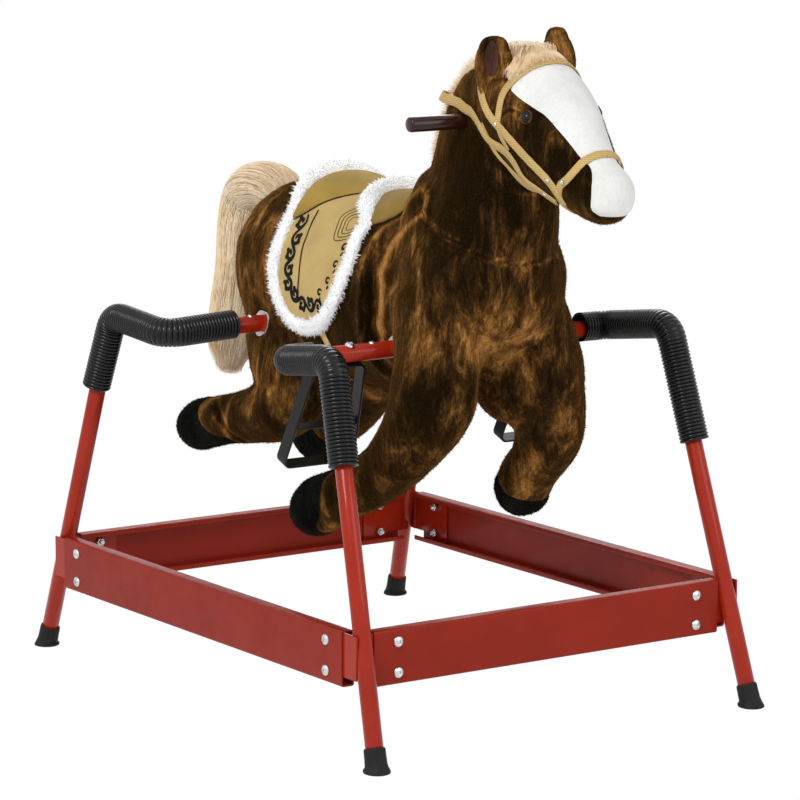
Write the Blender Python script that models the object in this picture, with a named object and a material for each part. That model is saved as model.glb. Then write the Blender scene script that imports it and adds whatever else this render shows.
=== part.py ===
"""Spring rocking horse: a plush horse carried by four coil springs in a steel tube stand.

Metres, +Z up. The horse looks along +X and its left side is +Y. Pieces are laid out from the
middle of the stand; the last step moves that middle back, so that the origin ends up on the
floor under the middle of the whole length. Run it with: blender --background --python part.py
"""

import math

import bmesh
import bpy
from mathutils import Matrix, Vector

# From the middle of the stand forward to the middle of the whole length
ORIGIN_X = 0.0397

# Clearances
GAP = 0.0003
HOLE_CLEARANCE = 0.0004

# Tubes and legs: a leg's axis starts over its foot and leans inwards, per metre of height
TUBE_R = 0.011
TUBE_WALL = 0.0015
TUBE_SIDES = 12
FOOT_X = 0.400
FOOT_Y = 0.284
LEAN_X = 0.296
LEAN_Y = 0.064
LEG_START_Z = 0.008
LEG_CORNER_Z = 0.471

# Rubber foot caps
CAP_WALL = 0.0018
CAP_TOP_Z = 0.028
FLANGE_R = 0.0165
FLANGE_T = 0.004

# Tabs welded to the legs: one inside each rail end, notched under its narrow part
TAB_T = 0.002
TAB_REACH = 0.060
TAB_NOTCH_H = 0.010
TAB_NOTCH_L = 0.022

# Rails: lipped channels of sheet, open towards the middle of the stand. At half their height the
# end rails' webs lie a little inside the legs' axes, and the side rails' run past the tubes
SHEET = 0.002
FLANGE_DEPTH = 0.018
LIP = 0.007
RAIL_LOW_Z = 0.091
RAIL_HEIGHT = 0.068
RAIL_MIDDLE_Z = RAIL_LOW_Z + RAIL_HEIGHT / 2
END_RAIL_INSIDE = 0.004
END_RAIL_GAP = 0.031
SIDE_RAIL_GAP = 0.024
RAIL_X = FOOT_X - LEAN_X * RAIL_MIDDLE_Z - END_RAIL_INSIDE
RAIL_Y = FOOT_Y - LEAN_Y * RAIL_MIDDLE_Z + TUBE_R + TAB_T + SHEET
SIDE_RAIL_HALF = RAIL_X - SIDE_RAIL_GAP
END_RAIL_HALF = RAIL_Y - END_RAIL_GAP

# Rail bolts
BOLT_R = 0.003
BOLT_HEAD_R = 0.0068
BOLT_HEAD_T = 0.0032
BOLT_INSET = 0.034
BOLT_LOW = 0.0145
BOLT_PITCH = 0.0375
BOLT_TAIL = 0.010
NUT_R = 0.0058
NUT_T = 0.005
FASTENER_SIDES = 6
HOLE_SIDES = 8

# Cross tubes, and the springs' bends between them and the legs
BAR_X = 0.140
BAR_Z = 0.455
BEND_Y = 0.248
BEND_R = 0.024
BEND_STEPS = 4

# Springs and their covers
WIRE_R = 0.00175
SPRING_CLEARANCE = 0.00035
SPRING_PITCH = 0.022
SPRING_SEGMENTS = 8
SPRING_ON_LEG = 0.045
SPRING_ON_BAR = 0.014
COVER_CLEARANCE = 0.00215
COVER_WALL = 0.002
COVER_R = TUBE_R + SPRING_CLEARANCE + 2 * WIRE_R + COVER_CLEARANCE + COVER_WALL
COVER_SIDES = 10
COVER_LOW_Z = {"front_right": 0.348, "front_left": 0.328, "rear_right": 0.366, "rear_left": 0.350}
COVER_END_FRONT = 0.2045
COVER_END_REAR = 0.146

# Inner frame
SPINE_HALF_Y = 0.020
SPINE_HALF_Z = 0.019
SPINE_REAR_X = -0.172
SPINE_FRONT_X = 0.194
POST_R = 0.0095
POST_FOOT = (0.172, 0.447)
HANDLE_X = 0.245
HANDLE_Z = 0.7445
HANDLE_R = 0.0093
HANDLE_HALF = 0.133
HANDLE_CHAMFER = 0.0015
SOCKET_WALL = 0.003
SOCKET_HALF = 0.025
BODY_HOLE_CLEARANCE = 0.0045

# Stirrups: closed loops of flat bar with a second rung, leaning back from the front cross tube
STRAP_W = 0.020
STRAP_T = 0.003
STIRRUP_IN_Y = 0.129
STIRRUP_OUT_Y = 0.2015
STIRRUP_FLARE = 0.016
STIRRUP_DROP = 0.139
STIRRUP_LEAN = math.radians(21.5)
STIRRUP_CORNER_R = 0.010
RUNG_AT = 0.62
STIRRUP_BOLT_Y = 0.152
STIRRUP_BOLT_R = 0.003
STIRRUP_BOLT_HEAD_R = 0.0062
STIRRUP_BOLT_HEAD_T = 0.0035
STIRRUP_BOLT_TAIL = 0.0075

# Horse body: rings as (x, y, z, half height, half width)
TORSO = (
    (-0.262, 0, 0.505, 0.020, 0.020),
    (-0.252, 0, 0.505, 0.068, 0.060),
    (-0.208, 0, 0.512, 0.112, 0.098),
    (-0.140, 0, 0.515, 0.126, 0.106),
    (-0.050, 0, 0.510, 0.125, 0.105),
    (0.040, 0, 0.505, 0.126, 0.104),
    (0.090, 0, 0.508, 0.129, 0.098),
    (0.135, 0, 0.517, 0.124, 0.084),
    (0.185, 0, 0.535, 0.118, 0.090),
    (0.235, 0, 0.545, 0.104, 0.092),
    (0.280, 0, 0.548, 0.082, 0.079),
    (0.306, 0, 0.549, 0.052, 0.050),
    (0.318, 0, 0.550, 0.022, 0.022),
)
NECK = (
    (0.190, 0, 0.520, 0.120, 0.090),
    (0.211, 0, 0.600, 0.122, 0.081),
    (0.231, 0, 0.650, 0.108, 0.069),
    (0.236, 0, 0.700, 0.094, 0.057),
    (0.252, 0, 0.755, 0.076, 0.054),
    (0.268, 0, 0.790, 0.052, 0.045),
)
HEAD = (
    (0.232, 0, 0.778, 0.036, 0.034),
    (0.258, 0, 0.776, 0.058, 0.052),
    (0.296, 0, 0.769, 0.073, 0.062),
    (0.341, 0, 0.746, 0.071, 0.062),
    (0.381, 0, 0.720, 0.063, 0.057),
    (0.415, 0, 0.697, 0.051, 0.047),
    (0.445, 0, 0.678, 0.041, 0.037),
    (0.470, 0, 0.670, 0.036, 0.034),
    (0.489, 0, 0.666, 0.024, 0.023),
    (0.496, 0, 0.665, 0.008, 0.008),
)
FRONT_RIGHT_LEG = (
    (0.192, -0.048, 0.530, 0.088, 0.054),
    (0.212, -0.066, 0.450, 0.070, 0.046),
    (0.209, -0.073, 0.398, 0.069, 0.050),
    (0.186, -0.081, 0.355, 0.050, 0.043),
    (0.137, -0.085, 0.312, 0.038, 0.036),
    (0.080, -0.090, 0.276, 0.036, 0.033),
    (0.030, -0.098, 0.252, 0.036, 0.034),
    (-0.013, -0.100, 0.230, 0.038, 0.036),
    (-0.046, -0.101, 0.215, 0.020, 0.020),
)
FRONT_LEFT_LEG = (
    (0.205, 0.045, 0.500, 0.085, 0.052),
    (0.214, 0.068, 0.445, 0.078, 0.052),
    (0.216, 0.084, 0.394, 0.072, 0.049),
    (0.220, 0.098, 0.346, 0.052, 0.041),
    (0.196, 0.099, 0.308, 0.038, 0.036),
    (0.168, 0.100, 0.278, 0.036, 0.036),
    (0.150, 0.103, 0.251, 0.036, 0.036),
    (0.140, 0.103, 0.233, 0.020, 0.020),
)
REAR_RIGHT_LEG = (
    (-0.165, -0.045, 0.480, 0.080, 0.050),
    (-0.130, -0.062, 0.420, 0.080, 0.048),
    (-0.108, -0.072, 0.375, 0.060, 0.044),
    (-0.128, -0.079, 0.342, 0.044, 0.041),
    (-0.175, -0.085, 0.328, 0.038, 0.037),
    (-0.222, -0.091, 0.317, 0.034, 0.034),
    (-0.266, -0.096, 0.307, 0.034, 0.034),
    (-0.300, -0.100, 0.297, 0.035, 0.035),
    (-0.325, -0.101, 0.289, 0.020, 0.020),
)
REAR_LEFT_LEG = (
    (-0.165, 0.045, 0.480, 0.080, 0.050),
    (-0.130, 0.062, 0.425, 0.076, 0.046),
    (-0.115, 0.074, 0.385, 0.055, 0.042),
    (-0.140, 0.083, 0.345, 0.040, 0.040),
    (-0.190, 0.088, 0.314, 0.036, 0.036),
    (-0.240, 0.094, 0.289, 0.034, 0.034),
    (-0.288, 0.099, 0.269, 0.034, 0.034),
    (-0.328, 0.102, 0.255, 0.036, 0.036),
    (-0.355, 0.103, 0.247, 0.020, 0.020),
)
RING_SIDES = 20
RING_STEPS = 3
FORM_VOXEL = 0.008
FORM_SMOOTHING = 8
FORM_TRIANGLES = 2400

# Reach of what cuts through the body, as shares of the feet's; unlike, so that no end faces meet
CUT_SHARE = 0.90
CUT_SHARE_LESS = 0.85
CUT_SHARE_MORE = 1.05

# White face and hooves, as side view outlines of (x, z) that are cut out of the body
FACE = (
    (0.336, 0.870), (0.338, 0.800), (0.348, 0.785), (0.374, 0.773), (0.397, 0.761), (0.415, 0.747),
    (0.432, 0.731), (0.449, 0.714), (0.461, 0.704), (0.470, 0.690), (0.473, 0.672), (0.471, 0.655),
    (0.478, 0.640), (0.490, 0.600), (0.560, 0.600), (0.560, 0.870),
)
HOOVES = {
    "front_right": ((0.033, 0.300), (0.036, 0.278), (0.039, 0.255), (0.034, 0.232), (0.014, 0.206),
                    (0.010, 0.160), (-0.100, 0.160), (-0.100, 0.300)),
    "front_left": ((0.090, 0.305), (0.130, 0.290), (0.157, 0.269), (0.175, 0.257), (0.192, 0.250),
                   (0.222, 0.250), (0.240, 0.190), (0.090, 0.190)),
    "rear_right": ((-0.285, 0.350), (-0.268, 0.326), (-0.252, 0.305), (-0.232, 0.294), (-0.205, 0.288),
                   (-0.190, 0.230), (-0.400, 0.230), (-0.400, 0.350)),
    "rear_left": ((-0.300, 0.314), (-0.285, 0.290), (-0.268, 0.270), (-0.248, 0.259), (-0.222, 0.252),
                  (-0.208, 0.200), (-0.420, 0.200), (-0.420, 0.314)),
}
HOOF_IN_Y = 0.030
HOOF_OUT_Y = 0.180

# Ears, mane and tail, as rings like the body's
RIGHT_EAR = (
    (0.301, -0.048, 0.776, 0.010, 0.014),
    (0.305, -0.051, 0.797, 0.012, 0.021),
    (0.309, -0.054, 0.817, 0.011, 0.023),
    (0.312, -0.056, 0.837, 0.009, 0.019),
    (0.314, -0.057, 0.852, 0.004, 0.008),
)
LEFT_EAR = (
    (0.296, 0.050, 0.790, 0.010, 0.016),
    (0.297, 0.052, 0.806, 0.013, 0.023),
    (0.294, 0.054, 0.826, 0.011, 0.023),
    (0.289, 0.055, 0.843, 0.009, 0.017),
    (0.286, 0.056, 0.857, 0.004, 0.007),
)
RIGHT_EAR_TURN = (0.60, 0.80, 0.0)
LEFT_EAR_TURN = (0.0, 1.0, 0.0)
MANE = (
    (0.130, 0, 0.680, 0.008, 0.012),
    (0.142, 0, 0.705, 0.014, 0.020),
    (0.159, 0, 0.739, 0.015, 0.024),
    (0.180, 0, 0.774, 0.015, 0.026),
    (0.213, 0, 0.804, 0.015, 0.026),
    (0.250, 0, 0.823, 0.015, 0.026),
    (0.292, 0, 0.830, 0.014, 0.025),
    (0.322, 0, 0.822, 0.011, 0.018),
)
TAIL = (
    (-0.222, 0, 0.590, 0.026, 0.026),
    (-0.252, 0, 0.611, 0.030, 0.032),
    (-0.290, 0, 0.614, 0.033, 0.036),
    (-0.322, 0, 0.602, 0.036, 0.040),
    (-0.336, 0, 0.562, 0.036, 0.042),
    (-0.342, 0, 0.505, 0.036, 0.042),
    (-0.356, 0, 0.445, 0.036, 0.042),
    (-0.368, 0, 0.395, 0.032, 0.038),
    (-0.374, 0, 0.352, 0.012, 0.016),
)
EYE_SPOT = (0.374, 0.050, 0.756)
EYE_R = 0.0085

# Saddle: side view outlines, and heights over the body's surface
SADDLE = (
    (-0.126, 0.800), (-0.126, 0.660), (-0.113, 0.634), (-0.102, 0.606), (-0.096, 0.570),
    (-0.096, 0.530), (-0.087, 0.490), (-0.066, 0.461), (-0.025, 0.452), (0.014, 0.463),
    (0.042, 0.485), (0.058, 0.515), (0.068, 0.550), (0.075, 0.585), (0.086, 0.615),
    (0.106, 0.645), (0.110, 0.800),
)
SADDLE_FRONT = (
    (0.060, 0.600), (0.094, 0.604), (0.124, 0.624), (0.150, 0.645), (0.148, 0.668), (0.060, 0.668),
)
SEAT = (
    (-0.200, 0.596), (-0.084, 0.596), (-0.060, 0.607), (-0.036, 0.616), (0.000, 0.624),
    (0.030, 0.630), (0.150, 0.636), (0.150, 0.800), (-0.200, 0.800),
)
TRIM_W = 0.018
TRIM_PROUD = 0.014
PAD_PROUD = 0.005
SEAT_PROUD = 0.024

# Straps: side view lines
WEB_W = 0.0122
WEB_PROUD = 0.0022
GIRTH = ((-0.012, 0.480), (0.010, 0.448), (0.022, 0.420), (0.030, 0.380), (0.030, 0.330))
BRIDLE = {
    "cheek": ((0.301, 0.769), (0.313, 0.758), (0.329, 0.748), (0.354, 0.730), (0.376, 0.712),
              (0.400, 0.693), (0.432, 0.668)),
    "brow": ((0.329, 0.748), (0.331, 0.776), (0.334, 0.800), (0.338, 0.860)),
    "nose": ((0.417, 0.620), (0.424, 0.650), (0.434, 0.674), (0.450, 0.695), (0.457, 0.711),
             (0.463, 0.750)),
    "throat": ((0.328, 0.746), (0.322, 0.728), (0.318, 0.706)),
    "neck": ((0.080, 0.767), (0.223, 0.767), (0.262, 0.760), (0.286, 0.742), (0.310, 0.718),
             (0.345, 0.692), (0.385, 0.673), (0.424, 0.660)),
}


def clear_scene():
    for obj in list(bpy.data.objects):
        bpy.data.objects.remove(obj, do_unlink=True)


def make_material(name, colour, roughness, metallic=0.0):
    material = bpy.data.materials.new(name)
    material.use_nodes = True
    shader = material.node_tree.nodes["Principled BSDF"]
    shader.inputs["Base Color"].default_value = (*colour, 1)
    shader.inputs["Roughness"].default_value = roughness
    shader.inputs["Metallic"].default_value = metallic
    material.diffuse_color = (*colour, 1)
    return material


def add_mesh(name, verts, faces, material, smooth=40):
    """Adds one object from points and faces, with its faces turned outwards."""
    bm = bmesh.new()
    made = [bm.verts.new(v) for v in verts]
    for face in faces:
        bm.faces.new([made[i] for i in face])
    bmesh.ops.recalc_face_normals(bm, faces=bm.faces)
    mesh = bpy.data.meshes.new(name)
    bm.to_mesh(mesh)
    bm.free()
    obj = bpy.data.objects.new(name, mesh)
    bpy.context.scene.collection.objects.link(obj)
    mesh.materials.append(material)
    mesh.shade_smooth()
    mesh.set_sharp_from_angle(angle=math.radians(smooth))
    return obj


def skin(rings, loop=False):
    """Points and faces of the skin over rings of equal count, capped or joined end to end."""
    count = len(rings[0])
    verts = [point for ring in rings for point in ring]
    faces = []
    spans = len(rings) if loop else len(rings) - 1
    for r in range(spans):
        a, b = r * count, (r + 1) % len(rings) * count
        for i in range(count):
            j = (i + 1) % count
            faces.append((a + i, a + j, b + j, b + i))
    if not loop:
        last = (len(rings) - 1) * count
        faces.append(tuple(reversed(range(count))))
        faces.append(tuple(last + i for i in range(count)))
    return verts, faces


def join_parts(parts):
    """Puts several (points, faces) together."""
    verts, faces = [], []
    for part_verts, part_faces in parts:
        base = len(verts)
        verts.extend(part_verts)
        faces.extend(tuple(base + i for i in face) for face in part_faces)
    return verts, faces


def circle(centre, axis, radius, sides, turn=0.0):
    """A ring of points round an axis."""
    axis = Vector(axis).normalized()
    side = axis.orthogonal().normalized() if abs(axis.z) > 0.9 else axis.cross((0, 0, 1)).normalized()
    up = axis.cross(side)
    angles = (math.tau * i / sides + turn for i in range(sides))
    return [Vector(centre) + side * radius * math.cos(a) + up * radius * math.sin(a) for a in angles]


def rod(start, end, radius, sides=TUBE_SIDES):
    start, end = Vector(start), Vector(end)
    return skin([circle(p, end - start, radius, sides) for p in (start, end)])


def pipe(start, end, radius, bore, sides=TUBE_SIDES):
    start, end = Vector(start), Vector(end)
    edges = ((start, radius), (end, radius), (end, bore), (start, bore))
    return skin([circle(p, end - start, r, sides) for p, r in edges], loop=True)


def box(low, high):
    corners = [(low[0], low[1]), (high[0], low[1]), (high[0], high[1]), (low[0], high[1])]
    return skin([[Vector((x, y, z)) for x, y in corners] for z in (low[2], high[2])])


def prism(outline, low, high):
    """An outline of (x, z) points drawn out along Y."""
    return skin([[Vector((x, y, z)) for x, z in outline] for y in (low, high)])


def cutter(name, shape):
    obj = add_mesh(name, *shape, MATERIALS["guide"])
    obj.hide_render = True
    obj.display_type = "WIRE"
    return obj


def boolean(obj, tool, operation="DIFFERENCE"):
    modifier = obj.modifiers.new(tool.name, "BOOLEAN")
    modifier.operation = operation
    modifier.solver = "EXACT"
    modifier.object = tool


def copy_object(obj, name, material=None):
    made = bpy.data.objects.new(name, obj.data.copy())
    bpy.context.scene.collection.objects.link(made)
    if material:
        made.data.materials.clear()
        made.data.materials.append(material)
    return made


def spline(values, t):
    """Catmull-Rom value at t, counted in stations."""
    last = len(values) - 1
    k = min(int(t), last - 1)
    f = t - k
    p = [Vector(values[min(max(k + d, 0), last)]) for d in (-1, 0, 1, 2)]
    return 0.5 * (
        2 * p[1] + (p[2] - p[0]) * f
        + (2 * p[0] - 5 * p[1] + 4 * p[2] - p[3]) * f ** 2
        + (3 * p[1] - p[0] - 3 * p[2] + p[3]) * f ** 3
    )


def limb(stations, sides=RING_SIDES, steps=RING_STEPS, across=(0, 1, 0)):
    """A smooth form through rings of (x, y, z, half height, half width)."""
    centres = [s[:3] for s in stations]
    sizes = [(s[3], s[4], 0) for s in stations]
    rings = []
    for i in range((len(stations) - 1) * steps + 1):
        t = i / steps
        centre = spline(centres, t)
        step = 0.5 / steps
        ahead = spline(centres, min(t + step, len(stations) - 1))
        behind = spline(centres, max(t - step, 0))
        axis = (ahead - behind).normalized()
        up = axis.cross(across).normalized()
        side = up.cross(axis)
        size = spline(sizes, t)
        ring = []
        for k in range(sides):
            a = math.tau * k / sides
            ring.append(centre + up * size.x * math.sin(a) + side * size.y * math.cos(a))
        rings.append(ring)
    return skin(rings)


def evaluated_mesh(obj):
    """The mesh of an object with its modifiers applied."""
    graph = bpy.context.evaluated_depsgraph_get()
    return bpy.data.meshes.new_from_object(obj.evaluated_get(graph))


def leg_point(sx, sy, z):
    """A point on a leg's axis."""
    return Vector((sx * (FOOT_X - LEAN_X * z), sy * (FOOT_Y - LEAN_Y * z), z))


def leg_axis(sx, sy):
    return (leg_point(sx, sy, 1) - leg_point(sx, sy, 0)).normalized()


def rounded_route(corners, radius):
    """Points along straight runs joined by arcs at the inner corners."""
    points = [corners[0]]
    for before, corner, after in zip(corners, corners[1:], corners[2:]):
        to_before = (before - corner).normalized()
        to_after = (after - corner).normalized()
        half = to_before.angle(to_after) / 2
        reach = radius / math.tan(half)
        middle = corner + (to_before + to_after).normalized() * radius / math.sin(half)
        first = corner + to_before * reach - middle
        last = corner + to_after * reach - middle
        sweep = first.angle(last)
        for i in range(BEND_STEPS + 1):
            f = i / BEND_STEPS
            arm = (first * math.sin((1 - f) * sweep) + last * math.sin(f * sweep)) / math.sin(sweep)
            points.append(middle + arm)
    points.append(corners[-1])
    return points


def carried_frames(points):
    """(point, tangent, side, up) along a route, turned as little as possible."""
    frames = []
    side = None
    for i, point in enumerate(points):
        tangent = (points[min(i + 1, len(points) - 1)] - points[max(i - 1, 0)]).normalized()
        if side is None:
            side = tangent.orthogonal()
        side = (side - tangent * side.dot(tangent)).normalized()
        frames.append((point, tangent, side, tangent.cross(side)))
    return frames


def swept(points, radius, sides, bore=None):
    """A rod along a route, or a pipe where it has a bore."""
    def ring(frame, r):
        point, _, side, up = frame
        angles = [math.tau * k / sides for k in range(sides)]
        return [point + side * r * math.cos(a) + up * r * math.sin(a) for a in angles]

    frames = carried_frames(points)
    rings = [ring(f, radius) for f in frames]
    if bore is None:
        return skin(rings)
    return skin(rings + [ring(f, bore) for f in reversed(frames)], loop=True)


def resampled(points, spacing):
    """The same route with evenly spaced points."""
    lengths = [0.0]
    for a, b in zip(points, points[1:]):
        lengths.append(lengths[-1] + (b - a).length)
    count = max(2, round(lengths[-1] / spacing))
    result = []
    k = 0
    for i in range(count + 1):
        s = lengths[-1] * i / count
        while k < len(points) - 2 and lengths[k + 1] < s:
            k += 1
        f = (s - lengths[k]) / (lengths[k + 1] - lengths[k])
        result.append(points[k].lerp(points[k + 1], f))
    return result


def coil(points, radius, pitch, segments):
    """Points of a helix wound round a route."""
    step = pitch / segments
    frames = carried_frames(resampled(points, step))
    turns = [math.tau * i / segments for i in range(len(frames))]
    return [
        point + side * radius * math.cos(a) + up * radius * math.sin(a)
        for (point, _, side, up), a in zip(frames, turns)
    ]


CORNERS = {
    "front_right": (1, -1),
    "front_left": (1, 1),
    "rear_right": (-1, -1),
    "rear_left": (-1, 1),
}


def build_legs(hole_tool):
    """Leg tubes with two tabs each, which the rails are bolted to, and their foot caps."""
    ends = {
        "front_right": (("right", 1), ("front", -1)),
        "front_left": (("left", -1), ("front", 1)),
        "rear_right": (("right", -1), ("rear", 1)),
        "rear_left": (("left", 1), ("rear", -1)),
    }
    rails = rail_places()
    middle = leg_point(1, 1, RAIL_MIDDLE_Z)
    leg_at = {"right": middle.x, "left": middle.x, "front": middle.y, "rear": middle.y}
    for corner, (sx, sy) in CORNERS.items():
        low = leg_point(sx, sy, LEG_START_Z)
        high = leg_point(sx, sy, leg_top_z())
        leg = add_mesh(f"leg_{corner}", *rod(low, high, TUBE_R), MATERIALS["red_gloss"])
        for rail, end in ends[corner]:
            shape = placed(tab(rails[rail][0], end, leg_at[rail]), rails[rail][1])
            boolean(leg, cutter(f"guide_tab_{corner}_{rail}", shape), "UNION")
        past = (high - low).normalized() * TUBE_R
        bore = rod(low - past, high + past, TUBE_R - TUBE_WALL)
        boolean(leg, cutter(f"guide_leg_bore_{corner}", bore))
        boolean(leg, hole_tool)
        add_mesh(f"foot_{corner}", *foot_cap(sx, sy), MATERIALS["rubber"])


def leg_top_z():
    """A leg is straight up to where the spring starts to bend."""
    run = Vector((BAR_X, BEND_Y, BAR_Z)) - leg_point(1, 1, LEG_CORNER_Z)
    half = (math.pi - leg_axis(1, 1).angle(run)) / 2
    return LEG_CORNER_Z - BEND_R / math.tan(half) * leg_axis(1, 1).z


def foot_cap(sx, sy):
    """A cup on a leg's end with a flat flange on the floor."""
    axis = leg_axis(sx, sy)
    bore = TUBE_R + GAP
    floor = leg_point(sx, sy, 0)
    seat = leg_point(sx, sy, LEG_START_Z - GAP)
    top = leg_point(sx, sy, CAP_TOP_Z)
    waist = leg_point(sx, sy, LEG_START_Z + FLANGE_T)
    upright = Vector((0, 0, 1))

    def level(z, r):
        centre = leg_point(sx, sy, z)
        return [p - axis * ((p - centre).z / axis.z) for p in circle(centre, axis, r, TUBE_SIDES)]

    rings = [
        level(0, FLANGE_R),
        level(FLANGE_T * 0.5, FLANGE_R),
        circle(waist, axis, bore + CAP_WALL, TUBE_SIDES),
        circle(top, axis, bore + CAP_WALL, TUBE_SIDES),
        circle(top, axis, bore, TUBE_SIDES),
        circle(seat, axis, bore, TUBE_SIDES),
    ]
    return skin(rings)


def channel(half_length):
    """A lipped channel along X with its web's outer face on the XZ plane, open to +Y."""
    high = RAIL_HEIGHT
    outline = (
        (0, 0), (FLANGE_DEPTH, 0), (FLANGE_DEPTH, LIP), (FLANGE_DEPTH - SHEET, LIP),
        (FLANGE_DEPTH - SHEET, SHEET), (SHEET, SHEET), (SHEET, high - SHEET),
        (FLANGE_DEPTH - SHEET, high - SHEET), (FLANGE_DEPTH - SHEET, high - LIP),
        (FLANGE_DEPTH, high - LIP), (FLANGE_DEPTH, high), (0, high),
    )
    return skin([[Vector((x, y, z)) for y, z in outline] for x in (-half_length, half_length)])


def placed(shape, matrix):
    verts, faces = shape
    return [matrix @ Vector(v) for v in verts], faces


def rail_places():
    """Each rail's name, half length and matrix from its own XZ web plane to the stand."""
    sides = {
        "right": (SIDE_RAIL_HALF, (0, -RAIL_Y), 0),
        "left": (SIDE_RAIL_HALF, (0, RAIL_Y), math.pi),
        "front": (END_RAIL_HALF, (RAIL_X, 0), math.pi / 2),
        "rear": (END_RAIL_HALF, (-RAIL_X, 0), -math.pi / 2),
    }
    return {
        rail: (half, Matrix.Translation((*spot, RAIL_LOW_Z)) @ Matrix.Rotation(turn, 4, "Z"))
        for rail, (half, spot, turn) in sides.items()
    }


def bolt_spots(half_length):
    """Bolt centres on a rail's own web plane."""
    heights = (BOLT_LOW, BOLT_LOW + BOLT_PITCH)
    return [Vector((s * (half_length - BOLT_INSET), 0, z)) for s in (-1, 1) for z in heights]


def build_rails():
    """Rails with their bolts; returns the cutter that drills rails and tabs alike."""
    holes = []
    reach = SHEET + TAB_T + BOLT_TAIL
    nut_at = SHEET + GAP + TAB_T + GAP
    inward = Vector((0, 1, 0))
    sizes = (BOLT_R, BOLT_HEAD_R, BOLT_HEAD_T)
    hole_r = round_bore(BOLT_R, HOLE_SIDES) + HOLE_CLEARANCE
    for rail, (half, matrix) in rail_places().items():
        for i, spot in enumerate(bolt_spots(half)):
            shape = bolt(spot - inward * GAP, inward, reach, nut_at + GAP, sizes)
            add_mesh(f"rail_bolt_{rail}_{i + 1}", *placed(shape, matrix), MATERIALS["zinc"])
            hole = rod(spot - inward * reach, spot + inward * reach, hole_r, HOLE_SIDES)
            holes.append(placed(hole, matrix))
    hole_tool = cutter("guide_rail_holes", join_parts(holes))
    for rail, (half, matrix) in rail_places().items():
        obj = add_mesh(f"rail_{rail}", *placed(channel(half), matrix), MATERIALS["red_satin"], 30)
        boolean(obj, hole_tool)
    return hole_tool


def bolt(seat, axis, length, nut_at, sizes):
    """A bolt with its nut run up, its head's underside on the seat point."""
    radius, head_radius, head_height = sizes
    profile = (
        (-head_height, head_radius * 0.6),
        (0, head_radius),
        (0, radius),
        (nut_at, radius),
        (nut_at, NUT_R),
        (nut_at + NUT_T, NUT_R),
        (nut_at + NUT_T, radius),
        (length, radius),
    )
    return skin([circle(seat + axis * at, axis, r, FASTENER_SIDES) for at, r in profile])


def tab(half_length, end, leg_at):
    """A bracket tab behind the web, from inside the rail past its end to the leg."""
    low, high = SHEET + GAP, RAIL_HEIGHT - SHEET - GAP
    inner = end * (half_length - TAB_REACH)
    notch = end * (half_length - TAB_NOTCH_L)
    outer = end * leg_at
    outline = (
        (inner, low), (notch, low), (notch, low + TAB_NOTCH_H), (outer, low + TAB_NOTCH_H),
        (outer, high), (inner, high),
    )
    start = SHEET + GAP
    return skin([[Vector((x, y, z)) for x, z in outline] for y in (start, start + TAB_T)])


def suspension_route(sx, sy, low_z, end_y):
    """From a leg, over the two bends, onto a cross tube's end."""
    corners = [
        leg_point(sx, sy, low_z),
        leg_point(sx, sy, LEG_CORNER_Z),
        Vector((sx * BAR_X, sy * BEND_Y, BAR_Z)),
        Vector((sx * BAR_X, sy * end_y, BAR_Z)),
    ]
    return rounded_route(corners, BEND_R)


def bar_half():
    """A cross tube ends where the spring's bend ends."""
    return BEND_Y - BEND_R


def build_suspension():
    coil_r = (TUBE_R + SPRING_CLEARANCE + WIRE_R) / math.cos(math.pi / SPRING_SEGMENTS)
    leg_start = leg_top_z() - SPRING_ON_LEG
    bar_end = bar_half() - SPRING_ON_BAR
    for corner, (sx, sy) in CORNERS.items():
        route = suspension_route(sx, sy, leg_start, bar_end)
        wire = coil(route, coil_r, SPRING_PITCH, SPRING_SEGMENTS)
        add_mesh(f"spring_{corner}", *swept(wire, WIRE_R, 4), MATERIALS["spring_steel"], 60)
        cover_end = COVER_END_FRONT if sx > 0 else COVER_END_REAR
        route = suspension_route(sx, sy, COVER_LOW_Z[corner], cover_end)
        shape = swept(route, COVER_R, COVER_SIDES, COVER_R - COVER_WALL)
        add_mesh(f"spring_cover_{corner}", *shape, MATERIALS["black_gloss"], 60)


def build_body_form():
    """The stuffed body as one smooth form, before it is parted into pieces."""
    parts = [TORSO, NECK, HEAD, FRONT_RIGHT_LEG, FRONT_LEFT_LEG, REAR_RIGHT_LEG, REAR_LEFT_LEG]
    rough = cutter("guide_rough_form", join_parts([limb(p) for p in parts]))
    remesh = rough.modifiers.new("union", "REMESH")
    remesh.mode = "VOXEL"
    remesh.voxel_size = FORM_VOXEL
    smooth = rough.modifiers.new("round", "SMOOTH")
    smooth.factor = 0.5
    smooth.iterations = FORM_SMOOTHING
    count = 2 * len(evaluated_mesh(rough).polygons)
    thin = rough.modifiers.new("thin", "DECIMATE")
    thin.ratio = FORM_TRIANGLES / count
    rough.modifiers.new("flat faces", "TRIANGULATE")
    mesh = evaluated_mesh(rough)
    form = bpy.data.objects.new("guide_form", mesh)
    bpy.context.scene.collection.objects.link(form)
    form.hide_render = True
    form.display_type = "WIRE"
    return form


def inflated(form, distance):
    """The body form grown by a distance along its normals."""
    grown = copy_object(form, f"guide_form_{distance * 10000:.0f}")
    displace = grown.modifiers.new("grow", "DISPLACE")
    displace.mid_level = 0
    displace.strength = distance
    grown.hide_render = True
    grown.display_type = "WIRE"
    return grown


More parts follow.
